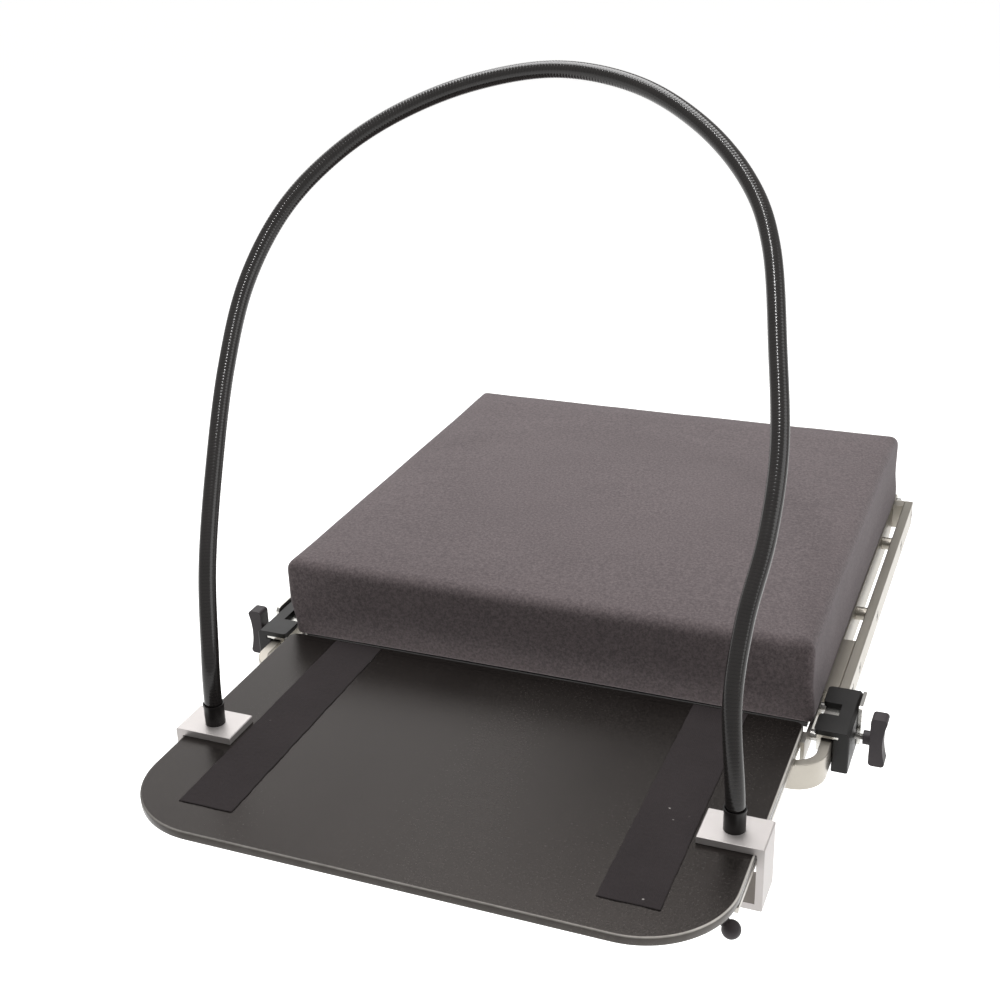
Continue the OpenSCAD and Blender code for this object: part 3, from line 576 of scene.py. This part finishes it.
@dataclass
class HeadPad:
    """The pad: a crowned block with rolled edges and drawn-in sides, over its wooden base."""

    edge: float = 11 * MM
    roll_step: float = 15.0
    corner: float = 6 * MM
    corner_least: float = 3 * MM
    corner_loss: float = 0.6
    crown: float = 2.4 * MM
    crown_power: float = 1.4
    draw: float = 1.5 * MM
    lip: float = 13 * MM
    base_height: float = 12 * MM
    clearance: float = 0.4 * MM
    turn_in: float = 1 * MM
    # inset and height, in millimetres, of the rings where the underside folds into the sides
    fold: tuple[tuple[float, float], ...] = ((3, 0), (1.6, 0.2), (0.9, 1.4), (0.6, 3.5))
    side_inset: float = 0.5 * MM
    side_rows: tuple[float, ...] = (0.13, 0.24, 0.36, 0.48, 0.60, 0.72, 0.83, 0.93)
    arc_steps: int = 8
    side_steps: int = 72
    sim_frames: int = 12
    pinned: float = 12 * MM
    pin_fade: float = 14 * MM
    even_rounds: int = 120
    swell_cap: float = 2.0 * MM
    swell_shoulder: float = 42 * MM
    # height, cell and seed of each layer of unevenness, and where it starts above the fold
    uneven: tuple[tuple[float, float, int], ...] = ((0.45 * MM, 70 * MM, 5), (0.18 * MM, 24 * MM, 8))
    uneven_from: float = 6 * MM
    uneven_over: float = 25 * MM
    # how the pad lies: moved along X at its foot and above it, more on its left, and raised
    askew_foot: float = -1.5 * MM
    askew: float = -4.5 * MM
    askew_from: float = 9 * MM
    askew_over: float = 30 * MM
    slump: float = -2.0 * MM
    lift: float = 2.0 * MM
    # how far it may leave its box: sideways at its foot, further up, and at its top
    slack_foot: float = 0.8 * MM
    slack_top: float = 12 * MM
    head_room: float = 5 * MM

    def outline(self, inset: np.ndarray, draw: np.ndarray) -> np.ndarray:
        """The pad's outline, taken in and drawn in, from the middle of one corner round to it.

        Each quarter is an arc of the corner and a straight side; the sides pull in along a
        parabola that is deepest halfway between the corners.

        Args:
            inset: Distance that each ring is taken in.
            draw: Depth of each ring's parabola.

        Returns:
            X and Y from the pad's centre, as ring, point, coordinate.
        """
        low, high = box_of("cushion_cover")
        half = (high - low)[:2] / 2
        inset, draw = inset[:, None], draw[:, None]
        radius = np.maximum(self.corner - self.corner_loss * inset, self.corner_least)
        along = 1 - 2 * np.linspace(0, 1, self.side_steps, endpoint=False)[None, :]
        quarters = []
        for quarter, signs in enumerate(((1, 1), (-1, 1), (-1, -1), (1, -1))):
            angle = np.radians(90 * (quarter + np.linspace(0, 1, self.arc_steps, endpoint=False)))
            arc = [
                sign * (reach - inset - radius) + radius * turn[None, :]
                for sign, reach, turn in zip(signs, half, (np.cos(angle), np.sin(angle)))
            ]
            run = quarter % 2
            out = 1 - run
            side = {
                run: signs[run] * along * (half[run] - inset - radius),
                out: signs[out] * (half[out] - inset - draw * (1 - along**2)),
            }
            quarters.append(np.stack([np.concatenate([arc[k], side[k]], axis=1) for k in (0, 1)], axis=-1))
        return np.roll(np.concatenate(quarters, axis=1), -(self.arc_steps // 2), axis=1)

    def lid(self, ring: np.ndarray, first: int, start: int) -> tuple[np.ndarray, np.ndarray]:
        """Fills a closed ring with a grid, its rows bent to follow the ring's four sides.

        Args:
            ring: Points of the ring, X and Y.
            first: Index of the ring's first point in the mesh.
            start: Index that the first new point gets.

        Returns:
            The new points, X and Y, and the faces, whose normals point along +Z.
        """
        n = self.arc_steps + self.side_steps
        loop = np.vstack([ring, ring[:1]])
        names = np.append(np.arange(len(ring)), 0) + first
        south, east, north, west = (slice(k * n, (k + 1) * n + 1) for k in range(4))
        at = np.zeros((n + 1, n + 1), int)
        at[1:-1, 1:-1] = start + np.arange((n - 1) ** 2).reshape(n - 1, n - 1)
        at[:, 0], at[-1, :] = names[south], names[east]
        at[:, -1], at[0, :] = names[north][::-1], names[west][::-1]
        u = np.linspace(0, 1, n + 1)[:, None, None]
        v = np.linspace(0, 1, n + 1)[None, :, None]
        grid = (1 - u) * loop[west][::-1][None] + u * loop[east][None]
        for share, side in ((1 - v, loop[south][:, None]), (v, loop[north][::-1][:, None])):
            grid = grid + share * (side - (1 - u) * side[0, 0] - u * side[-1, 0])
        faces = np.stack([at[:-1, :-1], at[1:, :-1], at[1:, 1:], at[:-1, 1:]], axis=-1).reshape(-1, 4)
        return grid[1:-1, 1:-1].reshape(-1, 2), faces

    def shell(self) -> bpy.types.Object:
        """The closed starting shape: recess for the base, fold, side, roll and crowned top."""
        low, high = box_of("cushion_cover")
        bottom, top = low[2], high[2] - self.crown
        side = top - bottom - self.edge
        roof = bottom + self.base_height + self.clearance
        recess, turn_in = self.lip - self.clearance, self.turn_in
        # inset, height, depth of the draw and share of the crown, ring by ring
        rings = [(recess + turn_in, roof, 0, 0), (recess, roof, 0, 0), (recess, roof - turn_in, 0, 0)]
        rings += [(recess, bottom + turn_in, 0, 0), (recess - turn_in, bottom, 0, 0)]
        rings += [(inset * MM, bottom + height * MM, self.draw, 0) for inset, height in self.fold]
        rings += [
            (self.side_inset * (1 - t), bottom + side * t, self.draw * (1 - t / 2), 0) for t in self.side_rows
        ]
        rings += [
            (self.edge * (1 - math.cos(a)), top - self.edge * (1 - math.sin(a)), self.draw / 2, math.sin(a))
            for a in np.radians(np.arange(0, 90, self.roll_step))
        ]
        rings += [(self.edge, top, 0, 1)]
        table = np.array(rings)
        flat = self.outline(table[:, 0], table[:, 2])
        count, steps = flat.shape[:2]
        upper, upper_faces = self.lid(flat[-1], (count - 1) * steps, count * steps)
        under, under_faces = self.lid(flat[0], 0, count * steps + len(upper))
        plan = np.concatenate([flat.reshape(-1, 2), upper, under])
        rows = np.repeat(table, steps, axis=0)
        height = np.concatenate([rows[:, 1], np.full(len(upper), top), np.full(len(under), roof)])
        share = np.concatenate([rows[:, 3], np.ones(len(upper)), np.zeros(len(under))])
        bulge = np.clip(1 - (plan / ((high - low)[:2] / 2)) ** 2, 0, 1).prod(axis=1) ** self.crown_power
        points = np.column_stack([plan + (low + high)[:2] / 2, height + self.crown * bulge * share])
        faces = np.concatenate([grid_faces(count, steps), upper_faces, under_faces[:, ::-1]])
        piece = mesh_of("pad_cover", points, faces)
        outward(piece)
        return piece

    def inflate(self, piece: bpy.types.Object) -> None:
        """Presses the cover out against its own tension and keeps a capped share of the result.

        The fold round the base is pinned, and the top's rise fades out towards its edges.

        Args:
            piece: The pad's starting shape, changed in place.
        """
        rest = points_of(piece)
        held = (1 - ramp(rest[:, 2] - rest[:, 2].min(), self.pinned, self.pin_fade)).round(2)
        pins = piece.vertex_groups.new(name="held")
        for level in np.unique(held[held > 0]):
            pins.add(np.flatnonzero(held == level).tolist(), float(level), "REPLACE")
        cloth = piece.modifiers.new("cover", "CLOTH")
        for setting, value in PAD_CLOTH.items():
            setattr(cloth.settings, setting, value)
        cloth.settings.effector_weights.gravity = 0
        cloth.collision_settings.use_collision = False
        cloth.collision_settings.use_self_collision = False
        cloth.point_cache.frame_start, cloth.point_cache.frame_end = 1, self.sim_frames
        scene = bpy.context.scene
        for step in range(1, self.sim_frames + 1):
            scene.frame_set(step)
        swollen = points_of(piece.evaluated_get(bpy.context.evaluated_depsgraph_get()))
        piece.modifiers.clear()
        scene.frame_set(1)
        moved = evened(piece, swollen - rest, self.even_rounds)
        reach = np.linalg.norm(moved, axis=1, keepdims=True)
        moved *= np.minimum(1, self.swell_cap / np.maximum(reach, 1e-9))
        low, high = box_of("cushion_cover")
        from_edge = ((high - low) / 2 - np.abs(rest - (low + high) / 2))[:, :2].min(axis=1)
        moved[:, 2] *= eased(ramp(from_edge, 0, self.swell_shoulder))
        log.info("pad swells by up to %.1f mm, capped at %.1f mm", reach.max() / MM, self.swell_cap / MM)
        put_points(piece, rest + moved)

    def soften(self, piece: bpy.types.Object) -> None:
        """Adds the slight unevenness of hand-covered foam, away from the bottom fold."""
        points = points_of(piece)
        free = ramp(points[:, 2] - points[:, 2].min(), self.uneven_from, self.uneven_over)
        normals = np.empty(len(points) * 3, np.float32)
        piece.data.vertices.foreach_get("normal", normals)
        out = sum(height * hash_noise(points, cell, seed) for height, cell, seed in self.uneven)
        put_points(piece, points + normals.reshape(-1, 3) * (out * free)[:, None])

    def settle(self, piece: bpy.types.Object) -> None:
        """Sets the pad as it lies: a little askew to the left, leaning more towards its top.

        Its lowest part stays inside its own box, clear of the clamps' fingers, and no part
        sinks below the line that it lies on.
        """
        low, high = box_of("cushion_cover")
        points = points_of(piece)
        share = eased(ramp(points[:, 2] - low[2], self.askew_from, self.askew_over))
        leftness = np.clip(0.5 - points[:, 0] / (high[0] - low[0]), 0, 1)
        points[:, 0] += self.askew_foot + (self.askew - self.askew_foot + self.slump * leftness) * share
        slack = (self.slack_foot + self.slack_top * share)[:, None]
        points[:, :2] = np.clip(points[:, :2], low[:2] - slack, high[:2] + slack)
        points[:, 2] += self.lift * ramp(points[:, 2], low[2], high[2] - low[2])
        points[:, 2] = np.clip(points[:, 2], low[2], high[2] + self.head_room)
        put_points(piece, points)

    def build(self) -> None:
        """Makes the cover, which stands for the foam in it too."""
        cover = self.shell()
        self.inflate(cover)
        self.soften(cover)
        self.settle(cover)
        smooth = cover.modifiers.new("smooth", "SUBSURF")
        smooth.levels = smooth.render_levels = 1
        cover.data.shade_smooth()
        place_piece(cover, "pad_cover", "cushion", "cushion_cover", "cushion_foam")


def evened(piece: bpy.types.Object, vectors: np.ndarray, rounds: int) -> np.ndarray:
    """Averages the vectors of a mesh's points: in each round a point takes half of its neighbours' mean."""
    ends = np.empty(len(piece.data.edges) * 2, np.int32)
    piece.data.edges.foreach_get("vertices", ends)
    a, b = ends.reshape(-1, 2).T
    count = len(vectors)
    near = np.maximum(np.bincount(ends, minlength=count), 1)
    for _ in range(rounds):
        sums = [np.bincount(a, part[b], count) + np.bincount(b, part[a], count) for part in vectors.T]
        vectors = 0.5 * vectors + 0.5 * np.stack(sums, axis=1) / near[:, None]
    return vectors


def points_of(piece: bpy.types.Object) -> np.ndarray:
    """The points of a mesh as rows of three."""
    points = np.empty(len(piece.data.vertices) * 3, np.float32)
    piece.data.vertices.foreach_get("co", points)
    return points.reshape(-1, 3).astype(float)


def put_points(piece: bpy.types.Object, points: np.ndarray) -> None:
    """Writes the points of a mesh."""
    piece.data.vertices.foreach_set("co", points.astype(np.float32).ravel())
    piece.data.update()


# ---- hand rest board -------------------------------------------------------------------------


@dataclass
class RestBoard:
    """The board beyond the pad, with its lighter edge of wear and painted highlight, its two tapes and the arms
    under it.
    """

    front_corner: float = 78 * MM
    back_corner: float = 9 * MM
    chamfer: float = 1.2 * MM
    rim: float = 8 * MM
    arc_steps: int = 40
    side_steps: int = 60
    # where the lighter edge (wear and a painted highlight) starts and over what distance it builds up: along X,
    # towards the front edge from this far behind it, and away from the back edge
    side_wear_and_highlight: tuple[float, float] = (150 * MM, 100 * MM)
    front_wear_and_highlight: tuple[float, float] = (-50 * MM, 40 * MM)
    back_wear_and_highlight: tuple[float, float] = (4 * MM, 20 * MM)
    least_wear_and_highlight: float = 0.12
    front_share: float = 0.40
    arm_edge: float = 0.4 * MM
    tape_width: float = 50 * MM
    tape_pitch: float = 1.25 * MM
    tape_fuzz: float = 0.22 * MM
    # heights of the waves in its outline: long and short ones along it, and those at its ends
    tape_waves: tuple[float, float, float] = (0.16 * MM, 0.12 * MM, 0.15 * MM)
    tape_sink: float = 0.25 * MM
    tape_gap: float = 0.02 * MM
    seed: int = 31

    def outline(self, inset: float) -> np.ndarray:
        """The board's outline taken in: two wide arcs at the front and two small ones behind."""
        low, high = box_of("rest_board")
        corners = [
            (high[0], high[1], self.back_corner, 0),
            (low[0], high[1], self.back_corner, 90),
            (low[0], low[1], self.front_corner, 180),
            (high[0], low[1], self.front_corner, 270),
        ]
        arcs = []
        for x, y, radius, start in corners:
            angle = np.radians(start + np.linspace(0, 90, self.arc_steps))
            cx = x - math.copysign(radius, x)
            cy = y - radius if start < 180 else y + radius
            arc = np.stack([np.cos(angle), np.sin(angle)], axis=1) * (radius - inset)
            arcs.append(arc + [cx, cy])
        arcs.append(arcs[0][:1])
        path = [arcs[0]]
        for before, after in zip(arcs[:-1], arcs[1:]):
            share = np.linspace(0, 1, self.side_steps)[1:-1, None]
            path += [before[-1] * (1 - share) + after[0] * share, after]
        return np.concatenate(path)[:-1]

    def board(self) -> None:
        """The board itself, lofted through its chamfers, with the share of its lighter edge (wear and painted
        highlight) stored along its top edge.
        """
        low, high = box_of("rest_board")
        bottom, top = low[2], high[2]
        c = self.chamfer
        turn = np.radians([0, 30, 60, 90])
        # inset, height and lighter-edge share (wear and painted highlight) of each ring: bottom round, side, top
        # round, flat rim
        lower = [(c * (1 - math.sin(a)), bottom + c * (1 - math.cos(a)), 0.25) for a in turn]
        upper = [(c * (1 - math.cos(a)), top - c * (1 - math.sin(a)), w) for a, w in zip(turn, (0.2, 0.8, 1, 0.7))]
        rings = lower + upper + [(c + c / 2, top, 0.0), (c + self.rim, top, 0.0)]
        outlines = np.stack([self.outline(inset) for inset, _, _ in rings])
        heights = np.array([height for _, height, _ in rings])[:, None, None]
        points = np.concatenate([outlines, np.broadcast_to(heights, outlines.shape[:2] + (1,))], axis=-1)
        piece = loft("rest_board_slab", points)
        # the edge is painted lighter for wear and as a highlight: most on the right side, then the front, and not
        # at the back, which lies in the pad's shade
        x, y = outlines[0].T
        side = self.least_wear_and_highlight + (1 - self.least_wear_and_highlight) * ramp(x, *self.side_wear_and_highlight)
        front = self.front_share * ramp(low[1] - y, *self.front_wear_and_highlight)
        share = np.maximum(side, front) * ramp(high[1] - y, *self.back_wear_and_highlight)
        store(piece, "edge_wear", np.outer([wear for _, _, wear in rings], share))
        place_piece(piece, "board_laminate", BODY_OF["rest_board"], "rest_board")

    def tape(self, side: float) -> bpy.types.Object:
        """One strip of hook tape, on the left for -1 and on the right for 1.

        Heights are random at every hook, and the long edges waver by a few tenths.
        """
        low, high = box_of("board_tapes")
        width = self.tape_width
        x0 = side * high[0] - (width if side > 0 else 0)
        nx, ny = int(width / self.tape_pitch), int((high[1] - low[1]) / self.tape_pitch)
        u, v = np.meshgrid(np.linspace(0, 1, nx), np.linspace(0, 1, ny), indexing="ij")
        rng = np.random.default_rng(self.seed + int(side))
        long_wave, short_wave, end_wave = self.tape_waves
        x = x0 + u * width + long_wave * np.sin(v * 31 + side) + short_wave * np.sin(v * 83)
        y = low[1] + v * (high[1] - low[1]) + end_wave * np.sin(u * 9 + 2 * side)
        z = high[2] - self.tape_sink + self.tape_fuzz * rng.uniform(-1, 1, u.shape)
        top = np.stack([x, y, z], axis=-1).reshape(-1, 3)
        foot = top.copy()
        foot[:, 2] = low[2] + self.tape_gap
        count = len(top)
        faces = grid_faces(nx, ny, closed=False)[:, ::-1]
        index = np.arange(count).reshape(nx, ny)
        edge = np.concatenate([index[0], index[1:, -1], index[-1, -2::-1], index[-2:0:-1, 0]])
        follow = np.roll(edge, -1)
        walls = np.stack([edge, follow, follow + count, edge + count], axis=1)
        skin = np.concatenate([faces, walls, faces[:, ::-1] + count])
        piece = mesh_of(f"board_tape_{SIDES[side > 0]}", np.concatenate([top, foot]), skin)
        outward(piece)
        return piece

    def build(self) -> None:
        """Makes the board, its tapes and its arms."""
        self.board()
        strips = [self.tape(side) for side in (-1.0, 1.0)]
        for strip in strips:
            place_piece(strip, "hook_tape", BODY_OF["board_tapes"])
        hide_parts("board_tapes")
        for side in SIDES:
            break_edges(f"board_arm_{side}", self.arm_edge)


# ---- gooseneck arch --------------------------------------------------------------------------


@dataclass
class DrapeArch:
    """The gooseneck: a ribbed vinyl sheath on the bend that the arch is set to."""

    # X and height above the feet, in millimetres; for feet 473.4 mm apart
    bend: tuple[tuple[float, float], ...] = (
        (-236.7, 0), (-240, 45), (-257, 110), (-275, 182), (-291, 255), (-296, 320), (-280, 378), (-243, 424),
        (-190, 460), (-120, 487), (-40, 499.5), (40, 489), (108, 460), (160, 420), (190, 375), (212, 305),
        (228, 242), (231, 185), (225, 130), (226, 75), (236.7, 0),
    )
    lean: float = math.radians(43)
    # in millimetres: height over which the lean sets in, and depth of the guides under the feet
    lean_start: float = 100.0
    guide: float = 60.0
    steps: int = 24
    radius: float = 8 * MM
    rib_pitch: float = 3.0 * MM
    rib_depth: float = 0.15 * MM
    # half width of a groove as a share of the pitch, and the share of its depth left at the feet
    groove_width: float = 0.28
    end_depth: float = 0.12
    fade_power: float = 1.5
    plain_end: float = 380 * MM
    sides: int = 20
    foot_above_cup: float = 1.5 * MM
    rows_per_rib: int = 6
    # angles, in degrees, of the rings that close each end
    dome: tuple[int, ...] = (85, 70, 50, 25)
    smooth_rows: int = 9

    def centreline(self) -> tuple[np.ndarray, np.ndarray]:
        """The bend as a smooth curve in space, each stretch a cubic shaped by its neighbours.

        The feet stand upright, and the lean over the pad builds up above them.

        Returns:
            The curve's points and its length at each.
        """
        flat = np.array(self.bend)
        back = math.tan(self.lean) * (np.hypot(flat[:, 1], self.lean_start) - self.lean_start)
        knots = np.column_stack([flat[:, 0], back, flat[:, 1]])
        below = np.array([0, 0, self.guide])
        knots = np.vstack([knots[0] - below, knots, knots[-1] - below]) * MM
        t = np.linspace(0, 1, self.steps, endpoint=False)[None, :, None]
        p0, p1, p2, p3 = (knots[i : len(knots) - 3 + i][:, None, :] for i in range(4))
        curve = 0.5 * (
            2 * p1 + (p2 - p0) * t + (2 * p0 - 5 * p1 + 4 * p2 - p3) * t**2 + (3 * p1 - p0 - 3 * p2 + p3) * t**3
        )
        low, high = box_of("arch_ferrule_right")
        foot = [0, (low[1] + high[1]) / 2, high[2] + self.foot_above_cup]
        line = np.vstack([curve.reshape(-1, 3), knots[-2]]) + foot
        length = np.concatenate([[0], np.cumsum(np.linalg.norm(np.diff(line, axis=0), axis=1))])
        return line, length

    def build(self) -> None:
        """Sweeps the ribbed profile along the bend.

        Each rib is a rounded crest with a narrow groove beside it. The ribs fade out over the
        last stretch at both feet, and the ends close as domes in the ferrules' cups.
        """
        line, length = self.centreline()
        total = length[-1]
        ribs = round(total / self.rib_pitch)
        s = np.linspace(0, total, ribs * self.rows_per_rib + 1)
        phase = (s / total * ribs) % 1.0
        groove = np.clip(1 - np.abs(phase - 0.5) / self.groove_width, 0, 1) ** 2
        fade = ramp(np.minimum(s, total - s), 0, self.plain_end) ** self.fade_power
        radius = self.radius - self.rib_depth * groove * (self.end_depth + (1 - self.end_depth) * fade)
        dome = np.radians(self.dome)
        s = np.concatenate([-self.radius * np.sin(dome), s, total + self.radius * np.sin(dome[::-1])])
        radius = np.concatenate([self.radius * np.cos(dome), radius, self.radius * np.cos(dome[::-1])])
        crest = np.pad(1 - groove, len(dome))
        middle = np.column_stack([np.interp(np.clip(s, 0, total), length, line[:, k]) for k in range(3)])
        middle[:, 2] -= np.maximum(-s, 0) + np.maximum(s - total, 0)
        ahead = np.gradient(middle, axis=0)
        # smooth the direction over a few rows, so that the rings don't jitter at the knots
        kernel = np.ones(self.smooth_rows) / self.smooth_rows
        padded = np.pad(ahead, ((self.smooth_rows // 2,) * 2, (0, 0)), "edge")
        ahead = np.column_stack([np.convolve(part, kernel, "valid") for part in padded.T])
        ahead /= np.linalg.norm(ahead, axis=1, keepdims=True)
        back = np.array([0.0, 1.0, 0.0]) - ahead[:, 1:2] * ahead
        back /= np.linalg.norm(back, axis=1, keepdims=True)
        across = np.cross(back, ahead)
        angle = np.linspace(0, 2 * math.pi, self.sides, endpoint=False)[None, :, None]
        rings = middle[:, None, :] + radius[:, None, None] * (
            np.cos(angle) * across[:, None, :] + np.sin(angle) * back[:, None, :]
        )
        piece = loft("arch_sheath", rings)
        outward(piece)
        store(piece, "crest", np.repeat(crest, self.sides))
        place_piece(piece, "sheath_vinyl", "arch", "gooseneck_sheath")


# ---- screws and clamps -----------------------------------------------------------------------


@dataclass
class ThreadedRod:
    """A rod whose surface is cut with one helical thread."""

    node: str
    axis: int
    pitch: float
    depth: float
    sides: int = 24
    rows_per_turn: int = 8

    def build(self) -> None:
        """Wraps the thread round the rod.

        The radius falls by a triangle wave of the height less the turn, so that the groove
        climbs one pitch in each turn, and it runs out at both ends.
        """
        low, high = box_of(self.node)
        centre = (low + high) / 2
        across = [(self.axis + 1) % 3, (self.axis + 2) % 3]
        length = high[self.axis] - low[self.axis]
        outer = (high - low)[across[0]] / 2
        rows = int(length / self.pitch * self.rows_per_turn) + 1
        along, turn = np.meshgrid(
            np.linspace(0, length, rows), np.linspace(0, 1, self.sides, endpoint=False), indexing="ij"
        )
        wave = np.abs(((along / self.pitch - turn) % 1.0) * 2 - 1)
        run_out = ramp(np.minimum(along, length - along), 0, 2 * self.pitch)
        radius = outer - self.depth * wave * run_out
        points = np.empty((rows, self.sides, 3))
        points[..., self.axis] = low[self.axis] + along
        points[..., across[0]] = centre[across[0]] + radius * np.cos(2 * math.pi * turn)
        points[..., across[1]] = centre[across[1]] + radius * np.sin(2 * math.pi * turn)
        piece = loft(f"{self.node}_thread", points)
        outward(piece)
        place_piece(piece, SLOT_OF[self.node], BODY_OF[self.node], self.node)


@dataclass
class Clamps:
    """The two rail clamps and the two edge clamps of the arch."""

    hard_edge: float = 0.5 * MM
    moulded_edge: float = 1.0 * MM
    knob_edge: float = 1.4 * MM
    knob_steps: int = 3
    knob_angle: float = 40.0
    stud_pitch: float = 1.0 * MM
    stud_depth: float = 0.45 * MM
    screw_pitch: float = 1.25 * MM
    screw_depth: float = 0.6 * MM

    def build(self) -> None:
        """Breaks the edges of bodies, hooks and knobs, and threads the screws."""
        for side in SIDES:
            break_edges(f"clamp_body_{side}", self.moulded_edge)
            break_edges(f"rail_knob_{side}", self.knob_edge, self.knob_steps, self.knob_angle)
            break_edges(f"rail_hook_{side}", self.hard_edge)
            break_edges(f"clamp_plate_{side}", self.hard_edge)
            break_edges(f"arch_clamp_{side}", self.hard_edge)
            ThreadedRod(f"knob_stud_{side}", 0, self.stud_pitch, self.stud_depth).build()
            ThreadedRod(f"clamp_screw_{side}", 2, self.screw_pitch, self.screw_depth).build()


# hard nodes of the frame, and how wide their edges are broken
FRAME_EDGES = {
    "head_end_bar": 0.7 * MM,
    "deck_panel": 0.6 * MM,
    "hinge_brackets": 0.8 * MM,
    "cross_rails": 0.8 * MM,
    "front_blocks": 0.5 * MM,
    "rear_blocks": 0.5 * MM,
    "side_plate_left": 0.6 * MM,
    "side_plate_right": 0.6 * MM,
}


def frame_edges() -> None:
    """Breaks the frame's edges."""
    for node, width in FRAME_EDGES.items():
        break_edges(node, width)


# ---- studio ----------------------------------------------------------------------------------


@dataclass
class Studio:
    """Floor, lights and the camera at the photograph's viewpoint."""

    eye: tuple[float, float, float] = (0.4380, -1.7155, 0.7487)
    yaw: float = math.radians(22.277)
    pitch: float = math.radians(23.931)
    roll: float = math.radians(-1.746)
    lens: float = 53.469
    sensor: float = 36.0
    floor_z: float = -0.78
    floor_reach: float = 30.0
    floor_colour: Colour = (0.93, 0.93, 0.925)
    floor_glow: float = 0.60
    world_strength: float = 0.44

    def camera(self) -> None:
        """Puts the camera at the eye, turned by yaw, tipped down by pitch and turned by roll."""
        data = bpy.data.cameras.new("camera")
        data.lens = self.lens
        data.sensor_width = self.sensor
        camera = bpy.data.objects.new("camera", data)
        bpy.context.scene.collection.objects.link(camera)
        camera.matrix_world = (
            Matrix.Translation(self.eye)
            @ Matrix.Rotation(self.yaw, 4, "Z")
            @ Matrix.Rotation(math.pi / 2 - self.pitch, 4, "X")
            @ Matrix.Rotation(self.roll, 4, "Z")
        )
        bpy.context.scene.camera = camera

    def lamp(self, name: str, place: Vector, target: Vector, size: float, power: float) -> None:
        """One square soft light of that size and of that many watts, aimed at a point."""
        data = bpy.data.lights.new(name, "AREA")
        data.shape = "SQUARE"
        data.size = size
        data.energy = power
        lamp = bpy.data.objects.new(name, data)
        lamp.location = place
        lamp.rotation_euler = (target - place).to_track_quat("-Z", "Y").to_euler()
        bpy.context.scene.collection.objects.link(lamp)

    def floor(self) -> None:
        """A wide pale floor well below the part, which hangs on its table bolts."""
        corners = self.floor_reach * np.array([[-1, -1], [1, -1], [1, 1], [-1, 1]])
        piece = mesh_of("floor", np.column_stack([corners, np.full(4, self.floor_z)]), [(0, 1, 2, 3)])
        g = Graph("studio_floor")
        piece.data.materials.append(
            g.surface(
                Base_Color=self.floor_colour,
                Roughness=0.9,
                Specular_IOR_Level=0.1,
                Emission_Color=(1.0, 1.0, 1.0),
                Emission_Strength=self.floor_glow,
            )
        )

    def world(self) -> None:
        """An even, bright surround."""
        world = bpy.data.worlds.new("studio")
        world.use_nodes = True
        background = world.node_tree.nodes["Background"]
        background.inputs[0].default_value = (1.0, 0.99, 0.98, 1.0)
        background.inputs[1].default_value = self.world_strength
        bpy.context.scene.world = world

    def build(self) -> None:
        """Sets up surround, floor, lights and camera."""
        bpy.context.scene.view_settings.view_transform = "Standard"
        self.world()
        self.floor()
        self.lamp("overhead", Vector((-0.5, 0.4, 2.8)), Vector((0.0, -0.4, 0.0)), 2.0, 84)
        self.lamp("left_rear", Vector((-1.88, 1.56, 1.85)), Vector((-0.2, -0.75, 0.0)), 2.2, 20)
        self.lamp("front", Vector((0.0, -1.25, 2.3)), Vector((0.0, -0.5, 0.3)), 0.18, 13)
        self.lamp("right", Vector((2.4, -0.5, 1.3)), Vector((0.2, -0.4, 0.0)), 1.6, 14)
        self.camera()


# ---- the whole part --------------------------------------------------------------------------


def dress_nodes() -> None:
    """Gives every node of the frame the finish of its slot."""
    for node, piece in frame["nodes"].items():
        dress(piece, SLOT_OF[node])


def main() -> None:
    """Builds the studio, dresses the frame and adds the modelled pieces."""
    logging.basicConfig(level=logging.INFO, format="%(name)s: %(message)s")
    Studio().build()
    dress_nodes()
    for group in (HeadPad(), RestBoard(), DrapeArch(), Clamps()):
        group.build()
    frame_edges()
    bpy.context.view_layer.update()


if __name__ == "__main__":
    main()
